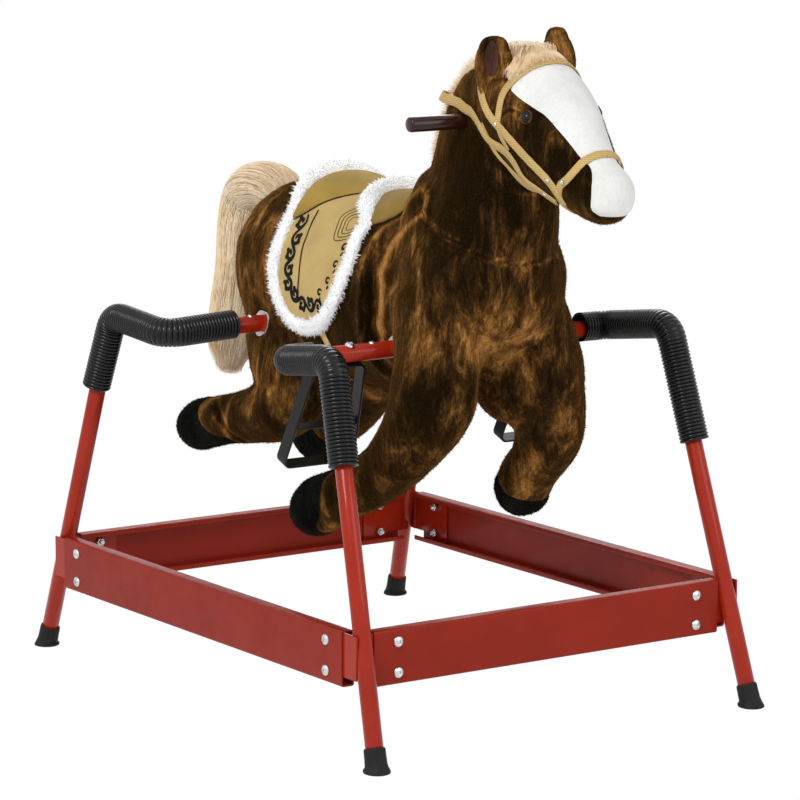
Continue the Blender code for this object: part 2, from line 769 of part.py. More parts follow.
def offset_outline(outline, distance):
    """An outline moved outwards by a distance, corner by corner."""
    area = sum(a[0] * b[1] - b[0] * a[1] for a, b in zip(outline, outline[1:] + outline[:1]))
    turn = 1 if area > 0 else -1
    result = []
    for before, here, after in zip(outline[-1:] + outline[:-1], outline, outline[1:] + outline[:1]):
        normals = []
        for a, b in ((before, here), (here, after)):
            length = math.hypot(b[0] - a[0], b[1] - a[1])
            normals.append(((b[1] - a[1]) / length * turn, (a[0] - b[0]) / length * turn))
        (ax, az), (bx, bz) = normals
        scale = distance / (1 + ax * bx + az * bz)
        result.append((here[0] + (ax + bx) * scale, here[1] + (az + bz) * scale))
    return tuple(result)


def band(line, width):
    """The side view outline of a strap of a width along a line."""
    left, right = [], []
    for i, (x, z) in enumerate(line):
        a, b = line[max(i - 1, 0)], line[min(i + 1, len(line) - 1)]
        length = math.hypot(b[0] - a[0], b[1] - a[1])
        nx, nz = (a[1] - b[1]) / length * width / 2, (b[0] - a[0]) / length * width / 2
        left.append((x + nx, z + nz))
        right.append((x - nx, z - nz))
    return tuple(left + right[::-1])


def through(outline, share=CUT_SHARE):
    return prism(outline, -share * FOOT_Y, share * FOOT_Y)


def bar_at(x, radius, half=None):
    """A rod along the middle of the cross tube at x."""
    half = half or bar_half()
    return rod((x, -half, BAR_Z), (x, half, BAR_Z), radius, TUBE_SIDES)


def round_bore(radius, sides=TUBE_SIDES):
    """The radius of a many-sided bore whose flats clear a round piece."""
    return radius / math.cos(math.pi / sides)


def tilted(y, s):
    """A point on a stirrup's middle plane, s below the front cross tube's axis."""
    return Vector((BAR_X - s * math.sin(STIRRUP_LEAN), y, BAR_Z - s * math.cos(STIRRUP_LEAN)))


def build_cross_tubes():
    """Both cross tubes; the front one is drilled for the stirrup bolts."""
    for name, x in (("front_cross_tube", BAR_X), ("rear_cross_tube", -BAR_X)):
        shape = pipe((x, -bar_half(), BAR_Z), (x, bar_half(), BAR_Z), TUBE_R, TUBE_R - TUBE_WALL)
        obj = add_mesh(name, *shape, MATERIALS["red_gloss"])
        if x > 0:
            boolean(obj, cutter("guide_stirrup_holes", join_parts(stirrup_holes())))


def stirrup_holes():
    """Both bolts' holes through the front cross tube and the stirrups' tops."""
    radius = round_bore(STIRRUP_BOLT_R, HOLE_SIDES) + HOLE_CLEARANCE
    reach = TUBE_R * 3
    spots = [s * STIRRUP_BOLT_Y for s in (-1, 1)]
    return [rod(tilted(y, -reach), tilted(y, reach), radius, HOLE_SIDES) for y in spots]


def build_stirrups():
    down = tilted(0, 1) - tilted(0, 0)
    across = Vector((0, 1, 0))
    wide = down.cross(across)
    top_s = TUBE_R + GAP + STRAP_T / 2
    bottom_s = top_s + STIRRUP_DROP
    rung_s = top_s + STIRRUP_DROP * RUNG_AT
    flare = STIRRUP_FLARE * RUNG_AT
    hole_tool = cutter("guide_stirrup_bores", join_parts(stirrup_holes()))
    for side, sy in (("right", -1), ("left", 1)):
        corners = [
            tilted(sy * (STIRRUP_IN_Y + STIRRUP_OUT_Y) / 2, top_s),
            tilted(sy * STIRRUP_OUT_Y, top_s),
            tilted(sy * (STIRRUP_OUT_Y + STIRRUP_FLARE), bottom_s),
            tilted(sy * (STIRRUP_IN_Y - STIRRUP_FLARE), bottom_s),
            tilted(sy * STIRRUP_IN_Y, top_s),
            tilted(sy * (STIRRUP_IN_Y + STIRRUP_OUT_Y) / 2, top_s),
        ]
        route = rounded_route(corners, STIRRUP_CORNER_R)[:-1]
        rings = []
        for i, point in enumerate(route):
            ahead, behind = route[(i + 1) % len(route)], route[i - 1]
            tangent = (ahead - behind).normalized()
            out = tangent.cross(wide).normalized() * STRAP_T / 2
            half = wide * STRAP_W / 2
            corner = (point + out + half, point - out + half, point - out - half, point + out - half)
            rings.append(corner)
        obj = add_mesh(f"stirrup_{side}", *skin(rings, loop=True), MATERIALS["black_satin"], 30)
        ends = [sy * (STIRRUP_IN_Y - flare), sy * (STIRRUP_OUT_Y + flare)]
        rung = []
        for y in ends:
            middle = tilted(y, rung_s)
            rung.append([
                middle + wide * a * (STRAP_W / 2 - STRAP_T) + down * b * STRAP_T / 2
                for a, b in ((1, 1), (-1, 1), (-1, -1), (1, -1))
            ])
        boolean(obj, cutter(f"guide_rung_{side}", skin(rung)), "UNION")
        boolean(obj, hole_tool)
        seat = tilted(sy * STIRRUP_BOLT_Y, -TUBE_R - GAP)
        nut_at = TUBE_R + GAP + top_s + STRAP_T / 2 + GAP
        sizes = (STIRRUP_BOLT_R, STIRRUP_BOLT_HEAD_R, STIRRUP_BOLT_HEAD_T)
        shape = bolt(seat, down, nut_at + STIRRUP_BOLT_TAIL, nut_at, sizes)
        add_mesh(f"stirrup_bolt_{side}", *shape, MATERIALS["zinc"])


def post_foot():
    return Vector((POST_FOOT[0], 0, POST_FOOT[1]))


def handle_point(y):
    return Vector((HANDLE_X, y, HANDLE_Z))


def post_shape(grow):
    """The neck post, ending inside the socket that holds the handle."""
    return rod(post_foot(), handle_point(0), POST_R + grow, 12)


def socket_shape(grow):
    radius = round_bore(HANDLE_R + GAP) + SOCKET_WALL + grow
    half = SOCKET_HALF + grow
    return rod(handle_point(-half), handle_point(half), radius)


def spine_shape(grow):
    low = (SPINE_REAR_X - grow, -SPINE_HALF_Y - grow, BAR_Z - SPINE_HALF_Z - grow)
    high = (SPINE_FRONT_X + grow, SPINE_HALF_Y + grow, BAR_Z + SPINE_HALF_Z + grow)
    return box(low, high)


def build_inner_frame():
    """A welded frame of spine, neck post and handle socket, and the handle bar."""
    frame = add_mesh("inner_frame", *spine_shape(0), MATERIALS["steel"], 30)
    boolean(frame, cutter("guide_post", post_shape(0)), "UNION")
    boolean(frame, cutter("guide_socket", socket_shape(0)), "UNION")
    for end, x in (("front", BAR_X), ("rear", -BAR_X)):
        boolean(frame, cutter(f"guide_spine_bore_{end}", bar_at(x, round_bore(TUBE_R + GAP))))
    half = SOCKET_HALF * 2
    bore = rod(handle_point(-half), handle_point(half), round_bore(HANDLE_R + GAP))
    boolean(frame, cutter("guide_socket_bore", bore))
    rings = []
    for y, r in ((-HANDLE_HALF, HANDLE_R - HANDLE_CHAMFER), (HANDLE_CHAMFER - HANDLE_HALF, HANDLE_R),
                 (HANDLE_HALF - HANDLE_CHAMFER, HANDLE_R), (HANDLE_HALF, HANDLE_R - HANDLE_CHAMFER)):
        rings.append(circle(handle_point(y), (0, 1, 0), r, TUBE_SIDES))
    add_mesh("handle_bar", *skin(rings), MATERIALS["maroon_wood"])


def hoof_region(corner, grow):
    sy = CORNERS[corner][1]
    low, high = sorted((sy * (HOOF_IN_Y - grow), sy * (HOOF_OUT_Y + grow)))
    return prism(offset_outline(HOOVES[corner], grow), low, high)


def build_body(form):
    """The plush body, parted from the white face and the hooves and hollowed for the frame."""
    body = copy_object(form, "plush_body", MATERIALS["brown_plush"])
    face = copy_object(form, "white_face", MATERIALS["white_plush"])
    boolean(face, cutter("guide_face", through(FACE)), "INTERSECT")
    boolean(body, cutter("guide_face_gap", through(offset_outline(FACE, GAP))))
    for corner in CORNERS:
        hoof = copy_object(form, f"hoof_{corner}", MATERIALS["black_plush"])
        boolean(hoof, cutter(f"guide_hoof_{corner}", hoof_region(corner, 0)), "INTERSECT")
        boolean(body, cutter(f"guide_hoof_gap_{corner}", hoof_region(corner, GAP)))
    for end, x in (("front", BAR_X), ("rear", -BAR_X)):
        radius = TUBE_R + BODY_HOLE_CLEARANCE
        boolean(body, cutter(f"guide_body_bore_{end}", bar_at(x, radius)))
    boolean(body, cutter("guide_spine_space", spine_shape(GAP)))
    boolean(body, cutter("guide_post_space", post_shape(GAP)))
    boolean(body, cutter("guide_socket_space", socket_shape(GAP)))
    bore = rod(handle_point(-HANDLE_HALF), handle_point(HANDLE_HALF), round_bore(HANDLE_R + GAP))
    boolean(body, cutter("guide_handle_space", bore))


def build_trimmings(form, skin_gap):
    """Ears, eyes, mane and tail, cut to sit on the body's surface and over the straps."""
    strap_space = inflated(form, WEB_PROUD + GAP)
    boolean(strap_space, strap_tool("gap", GAP), "INTERSECT")
    for side, stations, turn in (
            ("right", RIGHT_EAR, RIGHT_EAR_TURN), ("left", LEFT_EAR, LEFT_EAR_TURN)):
        ear = add_mesh(f"ear_{side}", *limb(stations, 10, 2, turn), MATERIALS["brown_plush"])
        boolean(ear, skin_gap)
        boolean(ear, strap_space)
    mane = add_mesh("mane", *limb(MANE, 10, 2), MATERIALS["blond_fur"])
    boolean(mane, skin_gap)
    boolean(mane, strap_space)
    boolean(add_mesh("tail", *limb(TAIL, 12, 2), MATERIALS["blond_fur"]), skin_gap)
    for side, sy in (("right", -1), ("left", 1)):
        shape = ball((EYE_SPOT[0], sy * EYE_SPOT[1], EYE_SPOT[2]), EYE_R)
        boolean(add_mesh(f"eye_{side}", *shape, MATERIALS["black_gloss"]), skin_gap)


def ball(centre, radius, sides=10):
    """A sphere of rings along Y between two small end faces."""
    rings = []
    steps = sides // 2
    for i in range(steps + 1):
        a = math.pi * (i + 0.25) / (steps + 0.5)
        middle = Vector(centre) + Vector((0, -radius * math.cos(a), 0))
        rings.append(circle(middle, (0, 1, 0), radius * math.sin(a), sides))
    return skin(rings)


def build_saddle(form, skin_gap):
    """The pad with its girth, the seat cushion on it and the fur trim round its edge."""
    trim_inner = offset_outline(SADDLE, -TRIM_W)
    on_pad = inflated(form, PAD_PROUD + GAP)
    trim = inflated_piece(form, "saddle_trim", TRIM_PROUD, "white_fur")
    boolean(trim, cutter("guide_trim", through(offset_outline(SADDLE, GAP))), "INTERSECT")
    boolean(trim, cutter("guide_trim_inside", through(trim_inner, CUT_SHARE_MORE)))
    boolean(trim, on_pad)
    pad = inflated_piece(form, "saddle_pad", PAD_PROUD, "tan_fabric")
    outline = cutter("guide_pad", through(SADDLE))
    boolean(outline, cutter("guide_pad_front", through(SADDLE_FRONT, CUT_SHARE_LESS)), "UNION")
    boolean(outline, cutter("guide_girth", through(band(GIRTH, WEB_W), CUT_SHARE_LESS)), "UNION")
    boolean(pad, outline, "INTERSECT")
    boolean(pad, skin_gap)
    seat = inflated_piece(form, "saddle_seat", SEAT_PROUD, "tan_fabric")
    boolean(seat, cutter("guide_seat", through(SEAT)), "INTERSECT")
    inside = offset_outline(trim_inner, -GAP)
    boolean(seat, cutter("guide_seat_edge", through(inside, CUT_SHARE_MORE)), "INTERSECT")
    boolean(seat, on_pad)


def inflated_piece(form, name, distance, material):
    """A visible piece that starts as the body form grown by a distance."""
    piece = copy_object(form, name, MATERIALS[material])
    displace = piece.modifiers.new("grow", "DISPLACE")
    displace.mid_level = 0
    displace.strength = distance
    return piece


def strap_tool(label, grow):
    """A cutter of all the bridle's straps in side view, grown by a distance."""
    tool = None
    for name, line in BRIDLE.items():
        outline = offset_outline(band(line, WEB_W), grow)
        share = CUT_SHARE if tool is None else CUT_SHARE_LESS
        strap = cutter(f"guide_strap_{name}_{label}", through(outline, share))
        if tool is None:
            tool = strap
        else:
            boolean(tool, strap, "UNION")
    return tool


def build_bridle(form, skin_gap):
    bridle = inflated_piece(form, "bridle_straps", WEB_PROUD, "tan_webbing")
    boolean(bridle, strap_tool("web", 0), "INTERSECT")
    boolean(bridle, skin_gap)


def hang_on_joints():
    """Parents the moving pieces to empties on their joints' axes."""
    still = ("leg_", "foot_", "rail_")
    empties = {}
    for name in ("bounce", "rock"):
        empty = bpy.data.objects.new(f"joint_{name}", None)
        empty.location = (0, 0, BAR_Z)
        bpy.context.scene.collection.objects.link(empty)
        empties[name] = empty
    for obj in list(bpy.data.objects):
        if obj.type != "MESH" or obj.hide_render or obj.name.startswith(still):
            continue
        obj.parent = empties["bounce" if obj.name.startswith("spring_") else "rock"]
        obj.matrix_parent_inverse = Matrix.Translation((0, 0, -BAR_Z))


def move_to_origin():
    """Moves the stand's middle back; the pieces on empties follow them."""
    for obj in bpy.data.objects:
        if obj.parent is None:
            obj.location.x -= ORIGIN_X


MATERIALS = {}


def build_materials():
    MATERIALS.update(
        guide=make_material("guide", (0.5, 0.5, 0.5), 0.5),
        red_gloss=make_material("red_gloss", (0.55, 0.03, 0.02), 0.25),
        red_satin=make_material("red_satin", (0.38, 0.04, 0.03), 0.4),
        rubber=make_material("rubber", (0.02, 0.02, 0.02), 0.8),
        black_gloss=make_material("black_gloss", (0.015, 0.015, 0.016), 0.3),
        black_satin=make_material("black_satin", (0.02, 0.02, 0.022), 0.45),
        zinc=make_material("zinc", (0.6, 0.61, 0.62), 0.35, 1.0),
        spring_steel=make_material("spring_steel", (0.3, 0.3, 0.31), 0.4, 1.0),
        steel=make_material("steel", (0.4, 0.4, 0.41), 0.5, 1.0),
        maroon_wood=make_material("maroon_wood", (0.12, 0.02, 0.02), 0.3),
        brown_plush=make_material("brown_plush", (0.07, 0.028, 0.01), 0.9),
        white_plush=make_material("white_plush", (0.8, 0.8, 0.8), 0.9),
        black_plush=make_material("black_plush", (0.012, 0.012, 0.012), 0.9),
        blond_fur=make_material("blond_fur", (0.8, 0.5, 0.27), 0.8),
        white_fur=make_material("white_fur", (0.85, 0.85, 0.88), 0.9),
        tan_fabric=make_material("tan_fabric", (0.5, 0.35, 0.14), 0.85),
        tan_webbing=make_material("tan_webbing", (0.52, 0.36, 0.16), 0.8),
    )


def main():
    clear_scene()
    build_materials()
    build_legs(build_rails())
    build_suspension()
    build_cross_tubes()
    build_stirrups()
    build_inner_frame()
    form = build_body_form()
    skin_gap = inflated(form, GAP)
    build_body(form)
    build_trimmings(form, skin_gap)
    build_saddle(form, skin_gap)
    build_bridle(form, skin_gap)
    hang_on_joints()
    move_to_origin()


main()
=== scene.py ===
"""Looks of the spring rocking horse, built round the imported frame.

Metres, +Z up, +X to the horse's nose, +Y to its left. Shapes are laid out from the middle of
the stand, as in the CAD; STAND_X moves them to where that middle lies in the frame.
"""

import itertools
import math
import random

import bmesh
import bpy
import numpy as np
from mathutils import Matrix, Vector
from mathutils.bvhtree import BVHTree


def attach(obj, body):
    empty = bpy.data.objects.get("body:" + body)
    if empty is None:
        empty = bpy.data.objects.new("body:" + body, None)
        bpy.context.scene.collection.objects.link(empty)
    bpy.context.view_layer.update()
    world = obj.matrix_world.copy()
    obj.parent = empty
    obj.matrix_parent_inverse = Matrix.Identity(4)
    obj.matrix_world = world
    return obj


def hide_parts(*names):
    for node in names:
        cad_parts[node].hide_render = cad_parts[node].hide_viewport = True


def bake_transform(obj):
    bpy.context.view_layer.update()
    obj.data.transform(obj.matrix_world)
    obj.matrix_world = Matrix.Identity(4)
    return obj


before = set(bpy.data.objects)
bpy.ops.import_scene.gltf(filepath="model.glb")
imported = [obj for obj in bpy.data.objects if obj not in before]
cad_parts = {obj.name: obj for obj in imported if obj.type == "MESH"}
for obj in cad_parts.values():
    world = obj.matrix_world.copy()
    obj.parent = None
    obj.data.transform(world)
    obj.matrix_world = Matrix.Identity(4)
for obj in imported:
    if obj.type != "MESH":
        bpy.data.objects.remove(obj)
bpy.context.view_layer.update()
STAND_X = -0.0397

# Stand, as in the CAD
TUBE_R = 0.011
FOOT_X = 0.400
FOOT_Y = 0.284
LEAN_X = 0.296
LEAN_Y = 0.064
LEG_START_Z = 0.008
LEG_CORNER_Z = 0.471
RAIL_X = 0.359
RAIL_Y = 0.291
RAIL_LOW_Z = 0.091
RAIL_HEIGHT = 0.068
SIDE_RAIL_HALF = 0.335
END_RAIL_HALF = 0.260
SHEET = 0.002
FLANGE_DEPTH = 0.018
LIP = 0.007
TAB_T = 0.002
TAB_REACH = 0.060
TAB_NOTCH_H = 0.010
TAB_NOTCH_L = 0.022
BOLT_INSET = 0.034
BOLT_LOW = 0.0145
BOLT_PITCH = 0.0375
GAP = 0.0003

# Cross tubes, springs and covers, as in the CAD
BAR_X = 0.140
BAR_Z = 0.455
BEND_Y = 0.248
BEND_R = 0.024
COVER_R = 0.019
COVER_LOW_Z = {"front_right": 0.348, "front_left": 0.328, "rear_right": 0.366, "rear_left": 0.350}
COVER_END = {1: 0.2045, -1: 0.146}
RIB_PITCH = 0.0046
RIB_DEPTH = 0.0017
WIRE_R = 0.00175
SPRING_PITCH = 0.022
BLEND_END_Y = 0.225
# How far the worn hoses' legs, bends and cross tube ends hang off the tubes
HANG = {
    "front_left": ((0.0010, 0.0014, 0), (0.0002, 0.0004, 0.0026), (0, 0, 0.0034)),
    "rear_right": ((-0.0014, -0.0020, 0), (0, 0, -0.0075), (0, 0, 0.0022)),
}
CORNERS = {"front_right": (1, -1), "front_left": (1, 1), "rear_right": (-1, -1), "rear_left": (-1, 1)}

# Stirrups and handle, as in the CAD
STRAP_W = 0.020
STRAP_T = 0.003
STIRRUP_IN_Y = 0.129
STIRRUP_OUT_Y = 0.2015
STIRRUP_FLARE = 0.016
STIRRUP_DROP = 0.139
STIRRUP_LEAN = math.radians(21.5)
STIRRUP_CORNER_R = 0.010
RUNG_AT = 0.62
STIRRUP_BOLT_Y = 0.152
HANDLE = (0.245, 0.7445)
HANDLE_R = 0.0093
HANDLE_HALF = 0.133

# Horse body: rings as (x, y, z, half height, half width), as in the CAD
TORSO = (
    (-0.262, 0, 0.505, 0.020, 0.020), (-0.252, 0, 0.505, 0.068, 0.060),
    (-0.208, 0, 0.512, 0.112, 0.098), (-0.140, 0, 0.515, 0.126, 0.106),
    (-0.050, 0, 0.510, 0.125, 0.105), (0.040, 0, 0.505, 0.126, 0.104),
    (0.090, 0, 0.508, 0.129, 0.098), (0.135, 0, 0.517, 0.124, 0.084),
    (0.185, 0, 0.535, 0.118, 0.090), (0.235, 0, 0.545, 0.104, 0.092),
    (0.280, 0, 0.548, 0.082, 0.079), (0.306, 0, 0.549, 0.052, 0.050),
    (0.318, 0, 0.550, 0.022, 0.022),
)
NECK = (
    (0.190, 0, 0.520, 0.120, 0.090), (0.211, 0, 0.600, 0.122, 0.081),
    (0.231, 0, 0.650, 0.108, 0.069), (0.236, 0, 0.700, 0.094, 0.057),
    (0.252, 0, 0.755, 0.076, 0.054), (0.268, 0, 0.790, 0.052, 0.045),
)
HEAD = (
    (0.232, 0, 0.778, 0.036, 0.034), (0.258, 0, 0.776, 0.058, 0.052),
    (0.296, 0, 0.769, 0.073, 0.062), (0.341, 0, 0.746, 0.071, 0.062),
    (0.381, -0.002, 0.720, 0.063, 0.055), (0.415, -0.002, 0.697, 0.051, 0.045),
    (0.445, -0.001, 0.678, 0.041, 0.036), (0.470, 0, 0.670, 0.036, 0.034),
    (0.489, 0, 0.666, 0.024, 0.023), (0.496, 0, 0.665, 0.008, 0.008),
)
FRONT_RIGHT_LEG = (
    (0.192, -0.048, 0.530, 0.088, 0.054), (0.211, -0.066, 0.450, 0.068, 0.046),
    (0.206, -0.073, 0.397, 0.064, 0.050), (0.184, -0.081, 0.353, 0.049, 0.043),
    (0.139, -0.085, 0.310, 0.040, 0.036), (0.082, -0.090, 0.275, 0.036, 0.033),
    (0.030, -0.098, 0.252, 0.036, 0.034), (-0.013, -0.100, 0.230, 0.038, 0.036),
    (-0.046, -0.101, 0.215, 0.020, 0.020),
)
FRONT_LEFT_LEG = (
    (0.207, 0.048, 0.500, 0.089, 0.056), (0.215, 0.071, 0.445, 0.081, 0.054),
    (0.216, 0.086, 0.394, 0.072, 0.049), (0.219, 0.098, 0.346, 0.052, 0.041),
    (0.196, 0.099, 0.308, 0.038, 0.036), (0.168, 0.100, 0.278, 0.036, 0.036),
    (0.150, 0.103, 0.251, 0.036, 0.036), (0.140, 0.103, 0.233, 0.020, 0.020),
)
REAR_RIGHT_LEG = (
    (-0.165, -0.045, 0.480, 0.080, 0.050), (-0.130, -0.062, 0.420, 0.080, 0.048),
    (-0.108, -0.072, 0.375, 0.060, 0.044), (-0.128, -0.079, 0.342, 0.044, 0.041),
    (-0.175, -0.085, 0.328, 0.038, 0.037), (-0.222, -0.091, 0.317, 0.034, 0.034),
    (-0.266, -0.096, 0.307, 0.034, 0.034), (-0.300, -0.100, 0.297, 0.035, 0.035),
    (-0.325, -0.101, 0.289, 0.020, 0.020),
)
REAR_LEFT_LEG = (
    (-0.165, 0.045, 0.480, 0.080, 0.050), (-0.130, 0.062, 0.425, 0.076, 0.046),
    (-0.115, 0.074, 0.398, 0.048, 0.042), (-0.140, 0.083, 0.364, 0.035, 0.038),
    (-0.190, 0.088, 0.328, 0.034, 0.035), (-0.240, 0.094, 0.297, 0.033, 0.034),
    (-0.288, 0.099, 0.274, 0.034, 0.034), (-0.328, 0.102, 0.260, 0.036, 0.036),
    (-0.355, 0.103, 0.252, 0.020, 0.020),
)
BETWEEN_LEGS = (
    (0.200, 0.030, 0.470, 0.060, 0.045), (0.205, 0.038, 0.425, 0.055, 0.045),
    (0.210, 0.045, 0.396, 0.043, 0.040), (0.214, 0.064, 0.374, 0.030, 0.026),
    (0.216, 0.072, 0.362, 0.012, 0.012),
)
RIGHT_EAR = (
    (0.301, -0.048, 0.776, 0.010, 0.014), (0.305, -0.051, 0.797, 0.012, 0.021),
    (0.309, -0.054, 0.817, 0.011, 0.023), (0.312, -0.056, 0.837, 0.009, 0.019),
    (0.314, -0.057, 0.852, 0.004, 0.008),
)
LEFT_EAR = (
    (0.296, 0.050, 0.790, 0.010, 0.016), (0.297, 0.052, 0.806, 0.013, 0.023),
    (0.294, 0.054, 0.826, 0.011, 0.023), (0.289, 0.055, 0.843, 0.009, 0.017),
    (0.286, 0.056, 0.857, 0.004, 0.007),
)
MANE = (
    (0.130, 0, 0.680, 0.008, 0.012), (0.142, 0, 0.705, 0.014, 0.020),
    (0.159, 0, 0.739, 0.015, 0.024), (0.180, 0, 0.774, 0.015, 0.026),
    (0.213, 0, 0.804, 0.015, 0.026), (0.250, 0, 0.823, 0.015, 0.026),
    (0.292, 0, 0.830, 0.014, 0.025), (0.322, 0, 0.822, 0.011, 0.018),
)
TAIL = (
    (-0.222, 0, 0.590, 0.026, 0.026), (-0.252, 0, 0.611, 0.030, 0.032),
    (-0.290, 0, 0.614, 0.033, 0.036), (-0.322, 0, 0.602, 0.036, 0.040),
    (-0.336, 0, 0.562, 0.036, 0.042), (-0.342, 0, 0.505, 0.036, 0.042),
    (-0.357, 0, 0.445, 0.036, 0.042), (-0.374, 0, 0.395, 0.032, 0.038),
    (-0.390, 0, 0.352, 0.012, 0.016),
)
EYE_SPOT = (0.375, 0.052, 0.759)
EYE_R = 0.0070

# Side view outlines of (x, z), as in the CAD
FACE = (
    (0.322, 0.870), (0.324, 0.815), (0.334, 0.797), (0.348, 0.785), (0.374, 0.773),
    (0.397, 0.761), (0.415, 0.747), (0.432, 0.731), (0.449, 0.714), (0.461, 0.704),
    (0.470, 0.690), (0.473, 0.672), (0.470, 0.657), (0.476, 0.649), (0.488, 0.648),
    (0.502, 0.652), (0.560, 0.660), (0.560, 0.870),
)
HOOVES = {
    "front_right": ((0.033, 0.300), (0.036, 0.278), (0.039, 0.255), (0.034, 0.232),
                    (0.014, 0.206), (0.010, 0.160), (-0.100, 0.160), (-0.100, 0.300)),
    "front_left": ((0.090, 0.305), (0.130, 0.290), (0.157, 0.269), (0.175, 0.257),
                   (0.192, 0.250), (0.222, 0.250), (0.240, 0.190), (0.090, 0.190)),
    "rear_right": ((-0.285, 0.350), (-0.268, 0.326), (-0.252, 0.305), (-0.232, 0.294),
                   (-0.205, 0.288), (-0.190, 0.230), (-0.400, 0.230), (-0.400, 0.350)),
    "rear_left": ((-0.300, 0.314), (-0.285, 0.290), (-0.268, 0.270), (-0.248, 0.259),
                  (-0.222, 0.252), (-0.208, 0.200), (-0.420, 0.200), (-0.420, 0.314)),
}
HOOF_IN_Y = 0.030
SADDLE = (
    (-0.121, 0.800), (-0.121, 0.650), (-0.118, 0.632), (-0.113, 0.618), (-0.105, 0.597),
    (-0.105, 0.572), (-0.108, 0.540), (-0.104, 0.513), (-0.094, 0.487), (-0.071, 0.463),
    (-0.034, 0.456), (0.010, 0.467), (0.046, 0.500), (0.062, 0.532), (0.069, 0.562),
    (0.066, 0.586), (0.068, 0.604), (0.048, 0.620), (0.028, 0.630), (0.022, 0.650), (0.022, 0.800),
)
SADDLE_FRONT = (
    (0.030, 0.596), (0.078, 0.603), (0.096, 0.612), (0.110, 0.624), (0.115, 0.632), (0.106, 0.640),
    (0.030, 0.642),
)
SEAT = (
    (-0.200, 0.592), (-0.088, 0.592), (-0.073, 0.601), (-0.053, 0.6155), (-0.030, 0.624),
    (-0.006, 0.629), (0.030, 0.634), (0.060, 0.800), (-0.200, 0.800),
)
TRIM_W = 0.0175
WEB_W = 0.0122


# Materials
def new_material(name, colour, roughness, **values):
    """A Principled material; values are its sockets' constants."""
    material = bpy.data.materials.new(name)
    material.use_nodes = True
    shader = material.node_tree.nodes["Principled BSDF"]
    shader.inputs["Base Color"].default_value = (*colour, 1)
    shader.inputs["Roughness"].default_value = roughness
    for socket, value in values.items():
        shader.inputs[socket.replace("_", " ")].default_value = value
    return material


class Nodes:
    """Short ways to add nodes to one material."""

    def __init__(self, material):
        self.tree = material.node_tree
        self.shader = self.tree.nodes["Principled BSDF"]
        self.coordinates = self.tree.nodes.new("ShaderNodeTexCoord").outputs["Object"]

    def link(self, a, b):
        self.tree.links.new(a, b)
        return b

    def scaled(self, scale):
        node = self.tree.nodes.new("ShaderNodeMapping")
        node.inputs["Scale"].default_value = scale
        self.link(self.coordinates, node.inputs["Vector"])
        return node.outputs["Vector"]

    def noise(self, scale, detail, roughness=0.5, distortion=0.0, vector=None):
        node = self.tree.nodes.new("ShaderNodeTexNoise")
        node.inputs["Scale"].default_value = scale
        node.inputs["Detail"].default_value = detail
        node.inputs["Roughness"].default_value = roughness
        node.inputs["Distortion"].default_value = distortion
        self.link(vector or self.coordinates, node.inputs["Vector"])
        return node.outputs["Fac"]

    def wave(self, scale, direction, distortion):
        node = self.tree.nodes.new("ShaderNodeTexWave")
        node.bands_direction = direction
        node.inputs["Scale"].default_value = scale
        node.inputs["Distortion"].default_value = distortion
        self.link(self.coordinates, node.inputs["Vector"])
        return node.outputs["Fac"]

    def ramp(self, factor, stops):
        node = self.tree.nodes.new("ShaderNodeValToRGB")
        elements = node.color_ramp.elements
        while len(elements) < len(stops):
            elements.new(0.5)
        for element, (position, colour) in zip(elements, stops):
            element.position = position
            element.color = (*colour, 1)
        self.link(factor, node.inputs["Fac"])
        return node.outputs["Color"]

    def patches(self, scale, detail, dark, light, low=0.3, high=0.7):
        """Two colours in noisy patches."""
        return self.ramp(self.noise(scale, detail), ((low, dark), (high, light)))

    def math(self, operation, a, b):
        node = self.tree.nodes.new("ShaderNodeMath")
        node.operation = operation
        for socket, value in zip(node.inputs, (a, b)):
            if isinstance(value, (int, float)):
                socket.default_value = value
            else:
                self.link(value, socket)
        return node.outputs["Value"]

    def multiplied(self, a, b):
        """The product of two colours."""
        node = self.tree.nodes.new("ShaderNodeMix")
        node.data_type = "RGBA"
        node.blend_type = "MULTIPLY"
        node.inputs["Factor"].default_value = 1.0
        self.link(a, node.inputs[6])
        self.link(b, node.inputs[7])
        return node.outputs[2]

    def bump(self, height, strength, distance):
        node = self.tree.nodes.new("ShaderNodeBump")
        node.inputs["Strength"].default_value = strength
        node.inputs["Distance"].default_value = distance
        self.link(height, node.inputs["Height"])
        last = self.shader.inputs["Normal"]
        if last.is_linked:
            self.link(last.links[0].from_socket, node.inputs["Normal"])
        self.link(node.outputs["Normal"], last)

    def colour(self, value):
        self.link(value, self.shader.inputs["Base Color"])

    def roughness(self, scale, value, least, most):
        """Roughness in patches, from least to most times the value."""
        uneven = self.patches(scale, 3, grey(value * least), grey(value * most))
        self.link(uneven, self.shader.inputs["Roughness"])


def grey(value):
    return (value, value, value)


def painted(name, dark, light, roughness, coat):
    """Sprayed paint with slight orange peel and a few runs of tone."""
    material = new_material(
        name, light, roughness, Coat_Weight=coat, Coat_Roughness=0.08, Specular_IOR_Level=0.12)
    n = Nodes(material)
    n.colour(n.patches(14, 4, dark, light))
    n.roughness(60, roughness, 0.8, 1.3)
    n.bump(n.noise(420, 2), 0.06, 0.0004)
    return material


